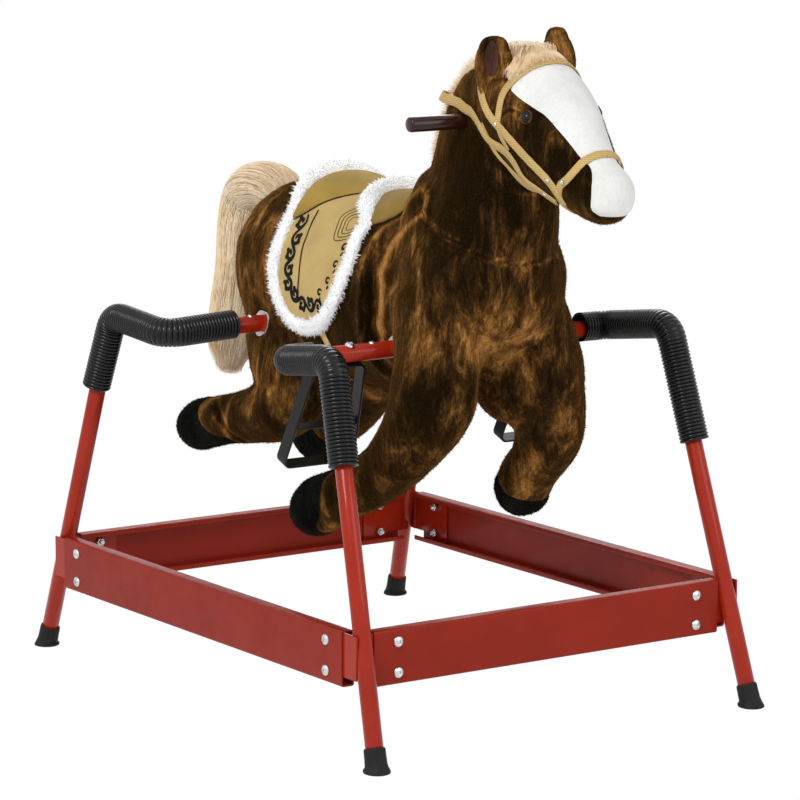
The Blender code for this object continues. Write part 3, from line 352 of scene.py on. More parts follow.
def plush(name, dark, middle, light, streak, sheen, sheen_tint, grain_depth=1.0):
    """Short pile crushed in streaks along the limbs and down the chest; its mesh's tone brightens or
    darkens it, and holds painted shade along the seams, creases and shoulder groove with painted
    highlights beside the seams.
    """
    material = new_material(
        name, middle, 0.92, Sheen_Weight=sheen, Sheen_Roughness=0.38, Sheen_Tint=(*sheen_tint, 1),
        Specular_IOR_Level=0.0)
    n = Nodes(material)
    tall = n.scaled((1.0, 1.0, 0.40))
    patches = n.noise(17, 5, 0.60, 1.2, tall)
    fine = n.noise(95, 5, 0.72, 0.8, n.scaled((1.0, 1.0, 0.24)))
    grain = n.noise(520, 3, 0.7, 0.0, n.scaled((1.0, 1.0, 0.34)))
    worn = n.math("ADD", n.math("MULTIPLY", patches, 0.60), n.math("MULTIPLY", fine, 0.40))
    tone = n.tree.nodes.new("ShaderNodeAttribute")
    tone.attribute_name = "tone"
    mixed = n.math("ADD", worn, tone.outputs["Fac"])
    base = n.ramp(mixed, ((0.42, dark), (0.50, middle), (0.575, light), (0.68, streak)))
    low, high = grey(1 - 0.45 * grain_depth), grey(1 + 0.35 * grain_depth)
    n.colour(n.multiplied(base, n.ramp(grain, ((0.32, low), (0.68, high)))))
    n.bump(worn, 0.5 * grain_depth, 0.004)
    n.bump(grain, 0.8 * grain_depth, 0.0014)
    return material


def hair(name, dark, light, sheen=0.3, glow=0.0):
    """Fine hair; glow is painted light, an emission that stands for the light that white fleece passes
    on from tuft to tuft and that brightens the hole lining in its shaded pits.
    """
    material = new_material(
        name, light, 0.6, Sheen_Weight=sheen, Sheen_Roughness=0.5, Emission_Strength=glow,
        Emission_Color=(0.94, 0.95, 1.0, 1))
    n = Nodes(material)
    n.colour(n.ramp(n.noise(70, 4, 0.6, 0.5), ((0.32, dark), (0.66, light))))
    n.bump(n.noise(900, 2), 0.3, 0.0005)
    return material


def woven(name, dark, light, thread):
    """Twill: two crossed sets of threads with a diagonal wale."""
    material = new_material(
        name, light, 0.85, Sheen_Weight=0.06, Sheen_Roughness=0.5, Specular_IOR_Level=0.1)
    n = Nodes(material)
    warp = n.wave(thread, "DIAGONAL", 0.6)
    weft = n.wave(thread / 2, "Z", 0.8)
    weave = n.math("MULTIPLY", n.math("ADD", warp, weft), 0.5)
    cloth = n.ramp(weave, ((0.15, dark), (0.7, light)))
    n.colour(n.multiplied(cloth, n.patches(22, 4, grey(0.82), grey(1.06))))
    n.bump(weave, 0.45, 0.0006)
    n.bump(n.noise(500, 2), 0.25, 0.0004)
    return material


def moulded(name, colour, roughness, coat=0.0, scale=260):
    """Plastic, rubber or glass with faint patches; a higher scale gives finer ones."""
    material = new_material(
        name, colour, roughness, Coat_Weight=coat, Coat_Roughness=0.12, Specular_IOR_Level=0.15)
    n = Nodes(material)
    n.colour(n.patches(scale / 8, 4, colour, tuple(c * 1.6 for c in colour), 0.35, 0.75))
    n.roughness(scale, roughness, 0.85, 1.25)
    n.bump(n.noise(scale * 3, 2), 0.12, 0.0004)
    return material


def plated(name, colour, roughness):
    material = new_material(name, colour, roughness, Metallic=1.0)
    n = Nodes(material)
    n.colour(n.patches(90, 4, tuple(c * 0.75 for c in colour), colour))
    n.roughness(300, roughness, 0.8, 1.4)
    n.bump(n.noise(700, 2), 0.1, 0.0003)
    return material


RED_GLOSS = painted("red gloss paint", (0.30, 0.015, 0.004), (0.37, 0.021, 0.006), 0.24, 0.22)
RED_SATIN = painted("red satin paint", (0.24, 0.014, 0.005), (0.28, 0.018, 0.006), 0.36, 0.05)
RUBBER = moulded("foot rubber", (0.012, 0.013, 0.012), 0.60)
HOSE = moulded("hose plastic", (0.0045, 0.0050, 0.0048), 0.26, 0.25, 120)
BLACK_PAINT = moulded("stirrup paint", (0.0045, 0.0045, 0.0045), 0.34, 0.10)
ZINC = plated("zinc", (0.72, 0.73, 0.74), 0.26)
SPRING_STEEL = plated("spring steel", (0.30, 0.30, 0.31), 0.35)
MAROON = moulded("handle lacquer", (0.022, 0.005, 0.004), 0.22, 0.35, 60)
EYE_BLACK = moulded("eye", (0.003, 0.003, 0.005), 0.10, 0.2)
BROWN_PLUSH = plush("brown plush", (0.0098, 0.0054, 0.0020), (0.033, 0.0160, 0.0050),
                    (0.130, 0.0570, 0.0140), (0.41, 0.190, 0.054), 0.22, (1.0, 0.50, 0.15))
EAR_PLUSH = plush("ear lining", (0.050, 0.024, 0.017), (0.085, 0.040, 0.029),
                  (0.120, 0.060, 0.044), (0.16, 0.085, 0.062), 0.25, (0.7, 0.45, 0.36), 0.5)
BLACK_PLUSH = plush("black plush", (0.0035, 0.0040, 0.0035), (0.0075, 0.0080, 0.0070),
                    (0.012, 0.012, 0.010), (0.022, 0.021, 0.018), 0.06, (0.5, 0.48, 0.42))
WHITE_PLUSH = plush("white plush", (0.70, 0.70, 0.68), (0.74, 0.74, 0.725),
                    (0.77, 0.77, 0.755), (0.80, 0.80, 0.785), 0.08, (1.0, 1.0, 1.0), 0.10)
TAIL_BLOND = hair("tail hair", (0.92, 0.66, 0.38), (1.0, 0.83, 0.58), 0.5)
MANE_BLOND = hair("mane hair", (0.68, 0.44, 0.22), (0.95, 0.74, 0.46))
FLEECE = hair("white fleece", (0.96, 0.96, 0.99), (1.0, 1.0, 1.0), 0.9, 0.05)
SEAT_CLOTH = woven("seat cloth", (0.30, 0.185, 0.038), (0.48, 0.325, 0.082), 900)
# The seat's tan cloth darkened to about three quarters as painted shade, for the saddle's front face
# under the fleece.
SHADED_FRONT_CLOTH = woven("front cloth", (0.22, 0.138, 0.030), (0.36, 0.243, 0.064), 900)
PAD_CLOTH = woven("pad cloth", (0.49, 0.335, 0.115), (0.65, 0.47, 0.19), 900)
WEBBING = woven("webbing", (0.36, 0.235, 0.075), (0.70, 0.49, 0.20), 300)
LID = plush("eye rim", (0.03, 0.015, 0.005), (0.09, 0.045, 0.014), (0.18, 0.09, 0.03),
            (0.28, 0.15, 0.055), 0.2, (0.85, 0.5, 0.2))
INK = moulded("printed ornament", (0.006, 0.006, 0.006), 0.7)
# Dark thread for the sewn lines, also drawn along the seat's edge as painted shadow under the cushion
THREAD_AND_SHADE = moulded("dark thread and shade", (0.018, 0.011, 0.006), 0.8)
# Its glow of 0.2 is painted light that brightens the white lining down in the shaded pits round the
# tubes.
LINING = hair("hole lining", (0.80, 0.80, 0.80), (0.93, 0.93, 0.93), 0.3, 0.2)


# Meshes
def object_of(mesh, name, material, smooth=60):
    """An object in the frame for a mesh in the stand's own place."""
    mesh.materials.clear()
    mesh.materials.append(material)
    mesh.shade_smooth()
    if smooth:
        mesh.set_sharp_from_angle(angle=math.radians(smooth))
    obj = bpy.data.objects.new(name, mesh)
    obj.location.x = STAND_X
    bpy.context.scene.collection.objects.link(obj)
    return obj


def add_mesh(name, verts, faces, material, smooth=40):
    """An object of loose points and faces; edges sharper than smooth degrees stay crisp."""
    mesh = bpy.data.meshes.new(name)
    mesh.from_pydata([tuple(v) for v in verts], [], [tuple(int(i) for i in f) for f in faces])
    bm = bmesh.new()
    bm.from_mesh(mesh)
    bmesh.ops.recalc_face_normals(bm, faces=bm.faces)
    bm.to_mesh(mesh)
    bm.free()
    return object_of(mesh, name, material, smooth)


def dress(obj, *nodes, body="horse"):
    """Rides a finished piece on its body and hides what it stands for."""
    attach(obj, body)
    if nodes:
        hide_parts(*nodes)
    return obj


def apply_modifiers(obj):
    graph = bpy.context.evaluated_depsgraph_get()
    mesh = bpy.data.meshes.new_from_object(obj.evaluated_get(graph))
    obj.modifiers.clear()
    obj.data = mesh
    return obj


def skin(rings, loop=False):
    """Points and faces of the skin over rings of equal count, capped or joined end to end."""
    count = len(rings[0])
    verts = [point for ring in rings for point in ring]
    faces = []
    for r in range(len(rings) if loop else len(rings) - 1):
        a, b = r * count, (r + 1) % len(rings) * count
        for i in range(count):
            j = (i + 1) % count
            faces.append((a + i, a + j, b + j, b + i))
    if not loop:
        last = (len(rings) - 1) * count
        faces.append(tuple(reversed(range(count))))
        faces.append(tuple(last + i for i in range(count)))
    return verts, faces


def join_parts(parts):
    verts, faces = [], []
    for part_verts, part_faces in parts:
        base = len(verts)
        verts.extend(part_verts)
        faces.extend(tuple(base + i for i in face) for face in part_faces)
    return verts, faces


def circle(centre, axis, radius, sides, turn=0.0):
    axis = Vector(axis).normalized()
    side = axis.orthogonal().normalized() if abs(axis.z) > 0.9 else axis.cross((0, 0, 1)).normalized()
    up = axis.cross(side)
    angles = (math.tau * i / sides + turn for i in range(sides))
    return [Vector(centre) + side * radius * math.cos(a) + up * radius * math.sin(a) for a in angles]


def turned(centre, axis, profile, sides, turn=0.0):
    """A turned shape from (distance along the axis, radius) pairs."""
    centre, axis = Vector(centre), Vector(axis).normalized()
    return skin([circle(centre + axis * at, axis, r, sides, turn) for at, r in profile])


def spline(values, t):
    """Catmull-Rom value at t, counted in stations."""
    last = len(values) - 1
    k = min(int(t), last - 1)
    f = t - k
    p = [Vector(values[min(max(k + d, 0), last)]) for d in (-1, 0, 1, 2)]
    return 0.5 * (
        2 * p[1] + (p[2] - p[0]) * f
        + (2 * p[0] - 5 * p[1] + 4 * p[2] - p[3]) * f ** 2
        + (3 * p[1] - p[0] - 3 * p[2] + p[3]) * f ** 3
    )


def station(stations, t):
    """(centre, axis, up, side, half height, half width) at t, counted in stations."""
    centres = [s[:3] for s in stations]
    last = len(stations) - 1
    ahead = spline(centres, min(t + 0.1, last))
    behind = spline(centres, max(t - 0.1, 0))
    axis = (ahead - behind).normalized()
    up = axis.cross((0, 1, 0)).normalized()
    size = spline([(s[3], s[4], 0) for s in stations], t)
    return spline(centres, t), axis, up, up.cross(axis), size.x, size.y


def limb(stations, sides, steps):
    """A smooth form through rings."""
    rings = []
    for i in range((len(stations) - 1) * steps + 1):
        centre, _, up, side, high, wide = station(stations, i / steps)
        angles = [math.tau * k / sides for k in range(sides)]
        rings.append([centre + up * high * math.sin(a) + side * wide * math.cos(a) for a in angles])
    return skin(rings)


def rounded_route(corners, radii, steps=8):
    """Points along straight runs joined by arcs at the inner corners."""
    points = [corners[0]]
    for before, corner, after, radius in zip(corners, corners[1:], corners[2:], radii):
        to_before = (before - corner).normalized()
        to_after = (after - corner).normalized()
        half = to_before.angle(to_after) / 2
        middle = corner + (to_before + to_after).normalized() * radius / math.sin(half)
        first = corner + to_before * radius / math.tan(half) - middle
        last = corner + to_after * radius / math.tan(half) - middle
        sweep = first.angle(last)
        for i in range(steps + 1):
            f = i / steps
            arm = (first * math.sin((1 - f) * sweep) + last * math.sin(f * sweep)) / math.sin(sweep)
            points.append(middle + arm)
    points.append(corners[-1])
    return points


def resampled(points, spacing):
    """The same route with evenly spaced points."""
    lengths = [0.0]
    for a, b in zip(points, points[1:]):
        lengths.append(lengths[-1] + (b - a).length)
    count = max(2, round(lengths[-1] / spacing))
    result = []
    k = 0
    for i in range(count + 1):
        s = lengths[-1] * i / count
        while k < len(points) - 2 and lengths[k + 1] < s:
            k += 1
        f = (s - lengths[k]) / (lengths[k + 1] - lengths[k])
        result.append(points[k].lerp(points[k + 1], f))
    return result


def softened(points, rounds):
    """A route with its bends eased, its ends kept."""
    for _ in range(rounds):
        inner = [(a + b * 2 + c) / 4 for a, b, c in zip(points, points[1:], points[2:])]
        points = [points[0], *inner, points[-1]]
    return points


def carried_frames(points):
    """(point, tangent, side, up) along a route, turned as little as possible."""
    frames = []
    side = None
    for i, point in enumerate(points):
        tangent = (points[min(i + 1, len(points) - 1)] - points[max(i - 1, 0)]).normalized()
        if side is None:
            side = tangent.orthogonal()
        side = (side - tangent * side.dot(tangent)).normalized()
        frames.append((point, tangent, side, tangent.cross(side)))
    return frames


def swept(points, radius, sides):
    """A rod along a route; radius may be a function of (index, angle)."""
    rings = []
    for i, (point, _, side, up) in enumerate(carried_frames(points)):
        ring = []
        for k in range(sides):
            a = math.tau * k / sides
            r = radius(i, a) if callable(radius) else radius
            ring.append(point + side * r * math.cos(a) + up * r * math.sin(a))
        rings.append(ring)
    return skin(rings)


# Stand
def leg_point(sx, sy, z):
    return Vector((sx * (FOOT_X - LEAN_X * z), sy * (FOOT_Y - LEAN_Y * z), z))


def leg_axis(sx, sy):
    return (leg_point(sx, sy, 1) - leg_point(sx, sy, 0)).normalized()


def leg_top_z():
    run = Vector((BAR_X, BEND_Y, BAR_Z)) - leg_point(1, 1, LEG_CORNER_Z)
    half = (math.pi - leg_axis(1, 1).angle(run)) / 2
    return LEG_CORNER_Z - BEND_R / math.tan(half) * leg_axis(1, 1).z


def rail_places():
    sides = {
        "right": (SIDE_RAIL_HALF, (0, -RAIL_Y), 0),
        "left": (SIDE_RAIL_HALF, (0, RAIL_Y), math.pi),
        "front": (END_RAIL_HALF, (RAIL_X, 0), math.pi / 2),
        "rear": (END_RAIL_HALF, (-RAIL_X, 0), -math.pi / 2),
    }
    return {
        rail: (half, Matrix.Translation((*spot, RAIL_LOW_Z)) @ Matrix.Rotation(turn, 4, "Z"))
        for rail, (half, spot, turn) in sides.items()
    }


def placed(shape, matrix):
    verts, faces = shape
    return [matrix @ Vector(v) for v in verts], faces


def rounded_outline(corners):
    """An outline of (x, y, radius) corners with arcs."""
    steps = 4
    result = []
    count = len(corners)
    for i, (x, y, r) in enumerate(corners):
        here = Vector((x, y))
        before = Vector(corners[i - 1][:2]) - here
        after = Vector(corners[(i + 1) % count][:2]) - here
        start, end = here + before.normalized() * r, here + after.normalized() * r
        for k in range(steps + 1):
            f = k / steps
            result.append(start.lerp(here, f).lerp(here.lerp(end, f), f))
    return result


def build_rails():
    """Lipped channels of bent sheet with rounded folds."""
    high, deep = RAIL_HEIGHT, FLANGE_DEPTH
    fold, inner, end = 0.0035, 0.0016, 0.0004
    outline = rounded_outline((
        (0, 0, fold), (deep, 0, fold), (deep, LIP, end), (deep - SHEET, LIP, end),
        (deep - SHEET, SHEET, inner), (SHEET, SHEET, inner), (SHEET, high - SHEET, inner),
        (deep - SHEET, high - SHEET, inner), (deep - SHEET, high - LIP, end),
        (deep, high - LIP, end), (deep, high, fold), (0, high, fold),
    ))
    for rail, (half, matrix) in rail_places().items():
        rings = [[Vector((x, p.x, p.y)) for p in outline] for x in (-half, half)]
        obj = add_mesh(f"rail_{rail}_looks", *placed(skin(rings), matrix), RED_SATIN, 28)
        dress(obj, f"rail_{rail}", body="stand")


def weld(points, radius):
    """A lumpy bead along a joint."""
    random.seed(len(points))
    sizes = [radius * random.uniform(0.7, 1.25) for _ in points]
    return swept(points, lambda i, a: sizes[i] * (0.9 + 0.2 * math.cos(2 * a)), 8)


def build_legs():
    """Leg tubes with their welded tabs, weld beads and rubber feet."""
    ends = {
        "front_right": (("right", 1), ("front", -1)), "front_left": (("left", -1), ("front", 1)),
        "rear_right": (("right", -1), ("rear", 1)), "rear_left": (("left", 1), ("rear", -1)),
    }
    rails = rail_places()
    middle = leg_point(1, 1, RAIL_LOW_Z + RAIL_HEIGHT / 2)
    leg_at = {"right": middle.x, "left": middle.x, "front": middle.y, "rear": middle.y}
    low_z, high_z = SHEET + GAP, RAIL_HEIGHT - SHEET - GAP
    for corner, (sx, sy) in CORNERS.items():
        low, high = leg_point(sx, sy, LEG_START_Z), leg_point(sx, sy, leg_top_z())
        axis = leg_axis(sx, sy)
        length = (high - low).length
        edge = 0.0008
        profile = ((0, TUBE_R - edge), (edge, TUBE_R), (length - edge, TUBE_R), (length, TUBE_R - edge))
        parts = [turned(low, axis, profile, 48)]
        for rail, end in ends[corner]:
            half, matrix = rails[rail]
            inner, notch = end * (half - TAB_REACH), end * (half - TAB_NOTCH_L)
            outer = end * leg_at[rail]
            outline = rounded_outline((
                (inner, low_z, 0.003), (notch, low_z, 0.001), (notch, low_z + TAB_NOTCH_H, 0.001),
                (outer, low_z + TAB_NOTCH_H, 0.0003), (outer, high_z, 0.0003), (inner, high_z, 0.003),
            ))
            start = SHEET + GAP
            rings = [[Vector((p.x, y, p.y)) for p in outline] for y in (start, start + TAB_T)]
            parts.append(placed(skin(rings), matrix))
            beads = [Vector((outer - end * TUBE_R * 0.86, start + TAB_T, z))
                     for z in np.linspace(low_z + TAB_NOTCH_H, high_z, 12)]
            parts.append(placed(weld(beads, 0.0018), matrix))
        obj = add_mesh(f"leg_{corner}_looks", *join_parts(parts), RED_GLOSS, 50)
        dress(obj, f"leg_{corner}", body="stand")
        build_foot(corner, sx, sy)


def build_foot(corner, sx, sy):
    """A rubber cap with a flat flange, a waist and a rolled top edge."""
    axis = leg_axis(sx, sy)
    sides = 48
    bore = TUBE_R + GAP

    def level(z, r):
        """A ring round the leg that lies level, as the floor does."""
        centre = leg_point(sx, sy, z)
        return [p - axis * ((p - centre).z / axis.z) for p in circle(centre, axis, r, sides)]

    flange = ((0, 0.0150), (0.0006, 0.0163), (0.0026, 0.0166), (0.0038, 0.0160))
    cap = (
        (0.0062, 0.0144), (0.0100, 0.0136), (0.0180, 0.0133), (0.0255, 0.0132), (0.0272, 0.0129),
        (0.0281, 0.0121), (0.0280, bore), (LEG_START_Z - GAP, bore),
    )
    rings = [level(z, r) for z, r in flange]
    rings += [circle(leg_point(sx, sy, z), axis, r, sides) for z, r in cap]
    obj = add_mesh(f"foot_{corner}_looks", *skin(rings), RUBBER, 45)
    dress(obj, f"foot_{corner}", body="stand")


def bolt_parts(seat, axis, nut_at, tail, head_r, head_h, turn=0.0):
    """A domed head with a round recess, a shank with threads, and a chamfered nut."""
    shank = 0.0029
    dome = [(-head_h * math.cos(a), head_r * math.sin(a) ** 0.6)
            for a in (math.pi / 2 * k / 6 for k in range(1, 7))]
    recess = [(-head_h * 0.35, 0.0006), (-head_h * 0.40, 0.0020), (-head_h * 0.93, 0.0024)]
    head = [*recess, (-head_h, 0.0030), *dome[2:], (0.0, head_r * 0.98), (0.0, shank)]
    threads = []
    pitch = 0.001
    at = 0.0005
    while at < tail:
        threads += [(at, shank), (at + pitch / 2, shank - 0.0004)]
        at += pitch
    shape = turned(seat, axis, [*head, *threads, (tail, shank * 0.8)], 24)
    nut_t, nut_r = 0.005, 0.0058
    nut = turned(seat, axis, (
        (nut_at, nut_r * 0.82), (nut_at + 0.0006, nut_r), (nut_at + nut_t - 0.0006, nut_r),
        (nut_at + nut_t, nut_r * 0.82), (nut_at + nut_t, shank + 0.0004),
    ), 6, turn)
    return [shape, nut]


def build_rail_bolts():
    reach = SHEET + TAB_T + 0.010
    nut_at = SHEET + TAB_T + GAP * 4
    for rail, (half, matrix) in rail_places().items():
        levels = (BOLT_LOW, BOLT_LOW + BOLT_PITCH)
        spots = [(s * (half - BOLT_INSET), z) for s in (-1, 1) for z in levels]
        for i, (x, z) in enumerate(spots):
            node = f"rail_bolt_{rail}_{i + 1}"
            seat = Vector((x, -GAP, z))
            parts = bolt_parts(seat, (0, 1, 0), nut_at, reach, 0.0068, 0.0032, i * 0.7)
            obj = add_mesh(f"{node}_looks", *placed(join_parts(parts), matrix), ZINC, 32)
            dress(obj, node, body="stand")


# Springs and their covers
def suspension_route(corner, low_z, end_y):
    """The way from a leg over its bend to a cross tube; the worn ones hang off it a little."""
    sx, sy = CORNERS[corner]
    leg_off, corner_off, bar_off = (Vector(v) for v in HANG.get(corner, ((0, 0, 0),) * 3))
    corners = [
        leg_point(sx, sy, low_z) + leg_off,
        leg_point(sx, sy, LEG_CORNER_Z) + corner_off,
        Vector((sx * BAR_X, sy * BEND_Y, BAR_Z)) + (corner_off + bar_off) / 2,
        Vector((sx * BAR_X, sy * end_y, BAR_Z)) + bar_off,
    ]
    return rounded_route(corners, (BEND_R, BEND_R))


def bend_middle(corner):
    sx, sy = CORNERS[corner]
    return (leg_point(sx, sy, LEG_CORNER_Z) + Vector((sx * BAR_X, sy * BEND_Y, BAR_Z))) / 2


def nearest(points, spot):
    return min(range(len(points)), key=lambda i: (points[i] - spot).length)


def blend_halves(kind, corner, shapes, bend, material, node):
    """Two pieces: from the leg to the bend, and on to the cross tube."""
    sx, sy = CORNERS[corner]
    shift = Vector((STAND_X, 0, 0))
    on_leg = leg_point(sx, sy, leg_top_z()) + shift
    on_bar = Vector((sx * BAR_X, sy * BLEND_END_Y, BAR_Z)) + shift
    bend = bend + shift
    places = (("leg", "stand", "springs", on_leg, bend), ("bar", "springs", "horse", bend, on_bar))
    for shape, (half, body_a, body_b, start, end) in zip(shapes, places):
        obj = add_mesh(f"{kind}_{corner}_{half}", *shape, material, 70)
        obj.data.transform(Matrix.Translation(obj.location))
        obj.location = (0, 0, 0)
        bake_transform(obj)
        if half == "leg":
            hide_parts(node)


def build_covers():
    """Ribbed hoses, open at their ends; the ribs are drawn apart on the outside of the bend."""
    spacing = RIB_PITCH / 8
    sides = 40
    bore = COVER_R - 0.0032
    for corner, (sx, sy) in CORNERS.items():
        route = suspension_route(corner, COVER_LOW_Z[corner], COVER_END[sx])
        points = softened(resampled(route, spacing), 40)
        bend = leg_point(sx, sy, LEG_CORNER_Z)
        split = nearest(points, bend_middle(corner))
        frames = carried_frames(points)
        rings = []
        for i, (point, _, side, up) in enumerate(frames):
            flat = 1 - 0.45 * math.exp(-((point - bend).length / 0.022) ** 4)
            wave = abs(math.sin(math.pi * i * spacing / RIB_PITCH)) ** 0.7
            r = COVER_R - 0.0001 - RIB_DEPTH * flat * (1 - wave)
            angles = (math.tau * k / sides for k in range(sides))
            rings.append([point + (side * math.cos(a) + up * math.sin(a)) * r for a in angles])
        shapes = []
        for span in (range(0, split + 1), range(split, len(points))):
            outer = [rings[i] for i in span]
            inner = [[points[i] + (p - points[i]).normalized() * bore for p in rings[i]]
                     for i in reversed(span)][::4]
            shapes.append(skin([*outer, *inner], loop=True))
        blend_halves("hose", corner, shapes, points[split], HOSE, f"spring_cover_{corner}")


def build_springs():
    """Coils pushed over the tubes' ends, each in two halves."""
    turn_steps = 24
    radius = TUBE_R + WIRE_R + 0.0006
    for corner in CORNERS:
        route = suspension_route(corner, leg_top_z() - 0.045, BEND_Y - BEND_R - 0.014)
        points = resampled(route, SPRING_PITCH / turn_steps)
        wire = []
        for i, (point, _, side, up) in enumerate(carried_frames(points)):
            a = math.tau * i / turn_steps
            wire.append(point + side * radius * math.cos(a) + up * radius * math.sin(a))
        split = nearest(points, bend_middle(corner))
        shapes = [swept(part, WIRE_R, 8) for part in (wire[:split + 1], wire[split:])]
        blend_halves("coil", corner, shapes, points[split], SPRING_STEEL, f"spring_{corner}")


# Cross tubes, stirrups and handle
def tilted(y, s):
    """A point on a stirrup's middle plane, s below the front cross tube's axis."""
    return Vector((BAR_X - s * math.sin(STIRRUP_LEAN), y, BAR_Z - s * math.cos(STIRRUP_LEAN)))


def build_cross_tubes():
    half = BEND_Y - BEND_R
    edge = 0.0008
    bore = TUBE_R - 0.0015
    for name, x, screw_y in (("front_cross_tube", BAR_X, 0.118), ("rear_cross_tube", -BAR_X, 0.120)):
        profile = ((-half, bore), (-half, TUBE_R - edge), (edge - half, TUBE_R), (half - edge, TUBE_R),
                   (half, TUBE_R - edge), (half, bore))
        obj = add_mesh(f"{name}_looks", *turned((x, 0, BAR_Z), (0, 1, 0), profile, 48), RED_GLOSS, 50)
        dress(obj, name)
        screws = []
        for sy in (-1, 1):
            seat = Vector((x + 0.2 * TUBE_R, sy * screw_y, BAR_Z + TUBE_R * 0.97))
            screws.append(turned(seat, (-0.2, 0, -1), (
                (-0.0021, 0.0006), (-0.0020, 0.0020), (-0.0012, 0.0034), (0.0, 0.0039), (0.002, 0.0030),
            ), 20))
        dress(add_mesh(f"{name}_screws", *join_parts(screws), ZINC, 40))


def bar_section(point, across, out, width, thick):
    """A flat bar's section with eased edges."""
    w, t, e = width / 2, thick / 2, thick * 0.28
    pairs = (
        (w - e, t), (w, t - e), (w, e - t), (w - e, -t),
        (e - w, -t), (-w, e - t), (-w, t - e), (e - w, t),
    )
    return [point + across * a + out * b for a, b in pairs]


def build_stirrups():
    """Bent flat bars that hang from the front cross tube, each with a welded rung and a bolt."""
    down = tilted(0, 1) - tilted(0, 0)
    wide = down.cross(Vector((0, 1, 0)))
    top_s = TUBE_R + GAP + STRAP_T / 2
    bottom_s = top_s + STIRRUP_DROP
    rung_s = top_s + STIRRUP_DROP * RUNG_AT
    flare = STIRRUP_FLARE * RUNG_AT
    for side, sy in (("right", -1), ("left", 1)):
        middle_y = (STIRRUP_IN_Y + STIRRUP_OUT_Y) / 2
        corners = [
            tilted(sy * middle_y, top_s), tilted(sy * STIRRUP_OUT_Y, top_s),
            tilted(sy * (STIRRUP_OUT_Y + STIRRUP_FLARE), bottom_s),
            tilted(sy * (STIRRUP_IN_Y - STIRRUP_FLARE), bottom_s),
            tilted(sy * STIRRUP_IN_Y, top_s), tilted(sy * middle_y, top_s),
        ]
        route = rounded_route(corners, [STIRRUP_CORNER_R] * 4, 10)[:-1]
        rings = []
        for i, point in enumerate(route):
            tangent = (route[(i + 1) % len(route)] - route[i - 1]).normalized()
            rings.append(bar_section(point, wide, tangent.cross(wide).normalized(), STRAP_W, STRAP_T))
        parts = [skin(rings, loop=True)]
        rung_ends = [tilted(sy * y, rung_s) for y in (STIRRUP_IN_Y - flare, STIRRUP_OUT_Y + flare)]
        rung_w = STRAP_W - 2 * STRAP_T
        parts.append(skin([bar_section(p, wide, down, rung_w, STRAP_T) for p in rung_ends]))
        for p in rung_ends:
            line = [p + wide * w for w in np.linspace(-0.006, 0.006, 7)]
            parts.append(weld([q + down * STRAP_T / 2 for q in line], 0.0014))
        obj = add_mesh(f"stirrup_{side}_looks", *join_parts(parts), BLACK_PAINT, 35)
        dress(obj, f"stirrup_{side}")
        seat = tilted(sy * STIRRUP_BOLT_Y, -TUBE_R - GAP)
        nut_at = TUBE_R + GAP + top_s + STRAP_T / 2 + GAP
        parts = bolt_parts(seat, down, nut_at, nut_at + 0.0075, 0.0062, 0.0035)
        obj = add_mesh(f"stirrup_bolt_{side}_looks", *join_parts(parts), ZINC, 32)
        dress(obj, f"stirrup_bolt_{side}")


def build_handle():
    r, half = HANDLE_R, HANDLE_HALF
    profile = (
        (-half, r * 0.80), (0.0006 - half, r * 0.90), (0.0022 - half, r), (-half / 3, r),
        (half / 3, r), (half - 0.0022, r), (half - 0.0006, r * 0.90), (half, r * 0.80),
    )
    shape = turned((HANDLE[0], 0, HANDLE[1]), (0, 1, 0), profile, 40)
    dress(add_mesh("handle_bar_looks", *shape, MAROON, 40), "handle_bar")


# Side view outlines and distances
def smooth_line(points, steps, closed=False):
    """A Catmull-Rom line through (x, z) points."""
    ends = (points[0], points[1]) if closed else (points[-1],)
    before = points[-1] if closed else points[0]
    p = [np.array(q, float) for q in (before, *points, *ends)]
    result = []
    for k in range(1, len(p) - 2):
        for i in range(steps):
            f = i / steps
            result.append(0.5 * (2 * p[k] + (p[k + 1] - p[k - 1]) * f
                                 + (2 * p[k - 1] - 5 * p[k] + 4 * p[k + 1] - p[k + 2]) * f ** 2
                                 + (3 * p[k] - p[k - 1] - 3 * p[k + 1] + p[k + 2]) * f ** 3))
    if not closed:
        result.append(p[-1])
    return np.array(result)


def inside_distance(points, outline):
    """Distance seen from the side to an outline of (x, z), positive inside."""
    xz = points[:, [0, 2]]
    outline = np.asarray(outline, float)
    odd = np.zeros(len(xz), bool)
    nearest_edge = np.full(len(xz), 1e9)
    for a, b in zip(outline, np.roll(outline, -1, 0)):
        crosses = (a[1] > xz[:, 1]) != (b[1] > xz[:, 1])
        with np.errstate(divide="ignore", invalid="ignore"):
            at = a[0] + (xz[:, 1] - a[1]) * (b[0] - a[0]) / (b[1] - a[1])
        odd ^= crosses & (xz[:, 0] < at)
        d = b - a
        t = np.clip(((xz - a) @ d) / max(d @ d, 1e-12), 0, 1)
        nearest_edge = np.minimum(nearest_edge, np.hypot(*(xz - a - t[:, None] * d).T))
    return np.where(odd, nearest_edge, -nearest_edge)


def smoothstep(value, low, high):
    t = np.clip((value - low) / (high - low), 0, 1)
    return t * t * (3 - 2 * t)


SLOPES = np.random.default_rng(1).normal(size=(256, 3))
SLOPES /= np.linalg.norm(SLOPES, axis=1, keepdims=True)
SHUFFLE = np.random.default_rng(2).permutation(256)


def noise_field(points, scale, seed=0):
    """Smooth noise from about -1 to 1 at each point; scale may be one number or three."""
    p = np.asarray(points) * scale + seed * 7.31
    cell = np.floor(p).astype(int)
    f = p - cell
    ease = f ** 3 * (f * (6 * f - 15) + 10)
    total = np.zeros(len(p))
    for corner in itertools.product((0, 1), repeat=3):
        c = (cell + corner) & 255
        slope = SLOPES[SHUFFLE[(SHUFFLE[(SHUFFLE[c[:, 0]] + c[:, 1]) & 255] + c[:, 2]) & 255]]
        weight = np.prod(np.where(np.array(corner) == 1, ease, 1 - ease), axis=1)
        total += weight * ((f - corner) * slope).sum(1)
    return total * 1.6


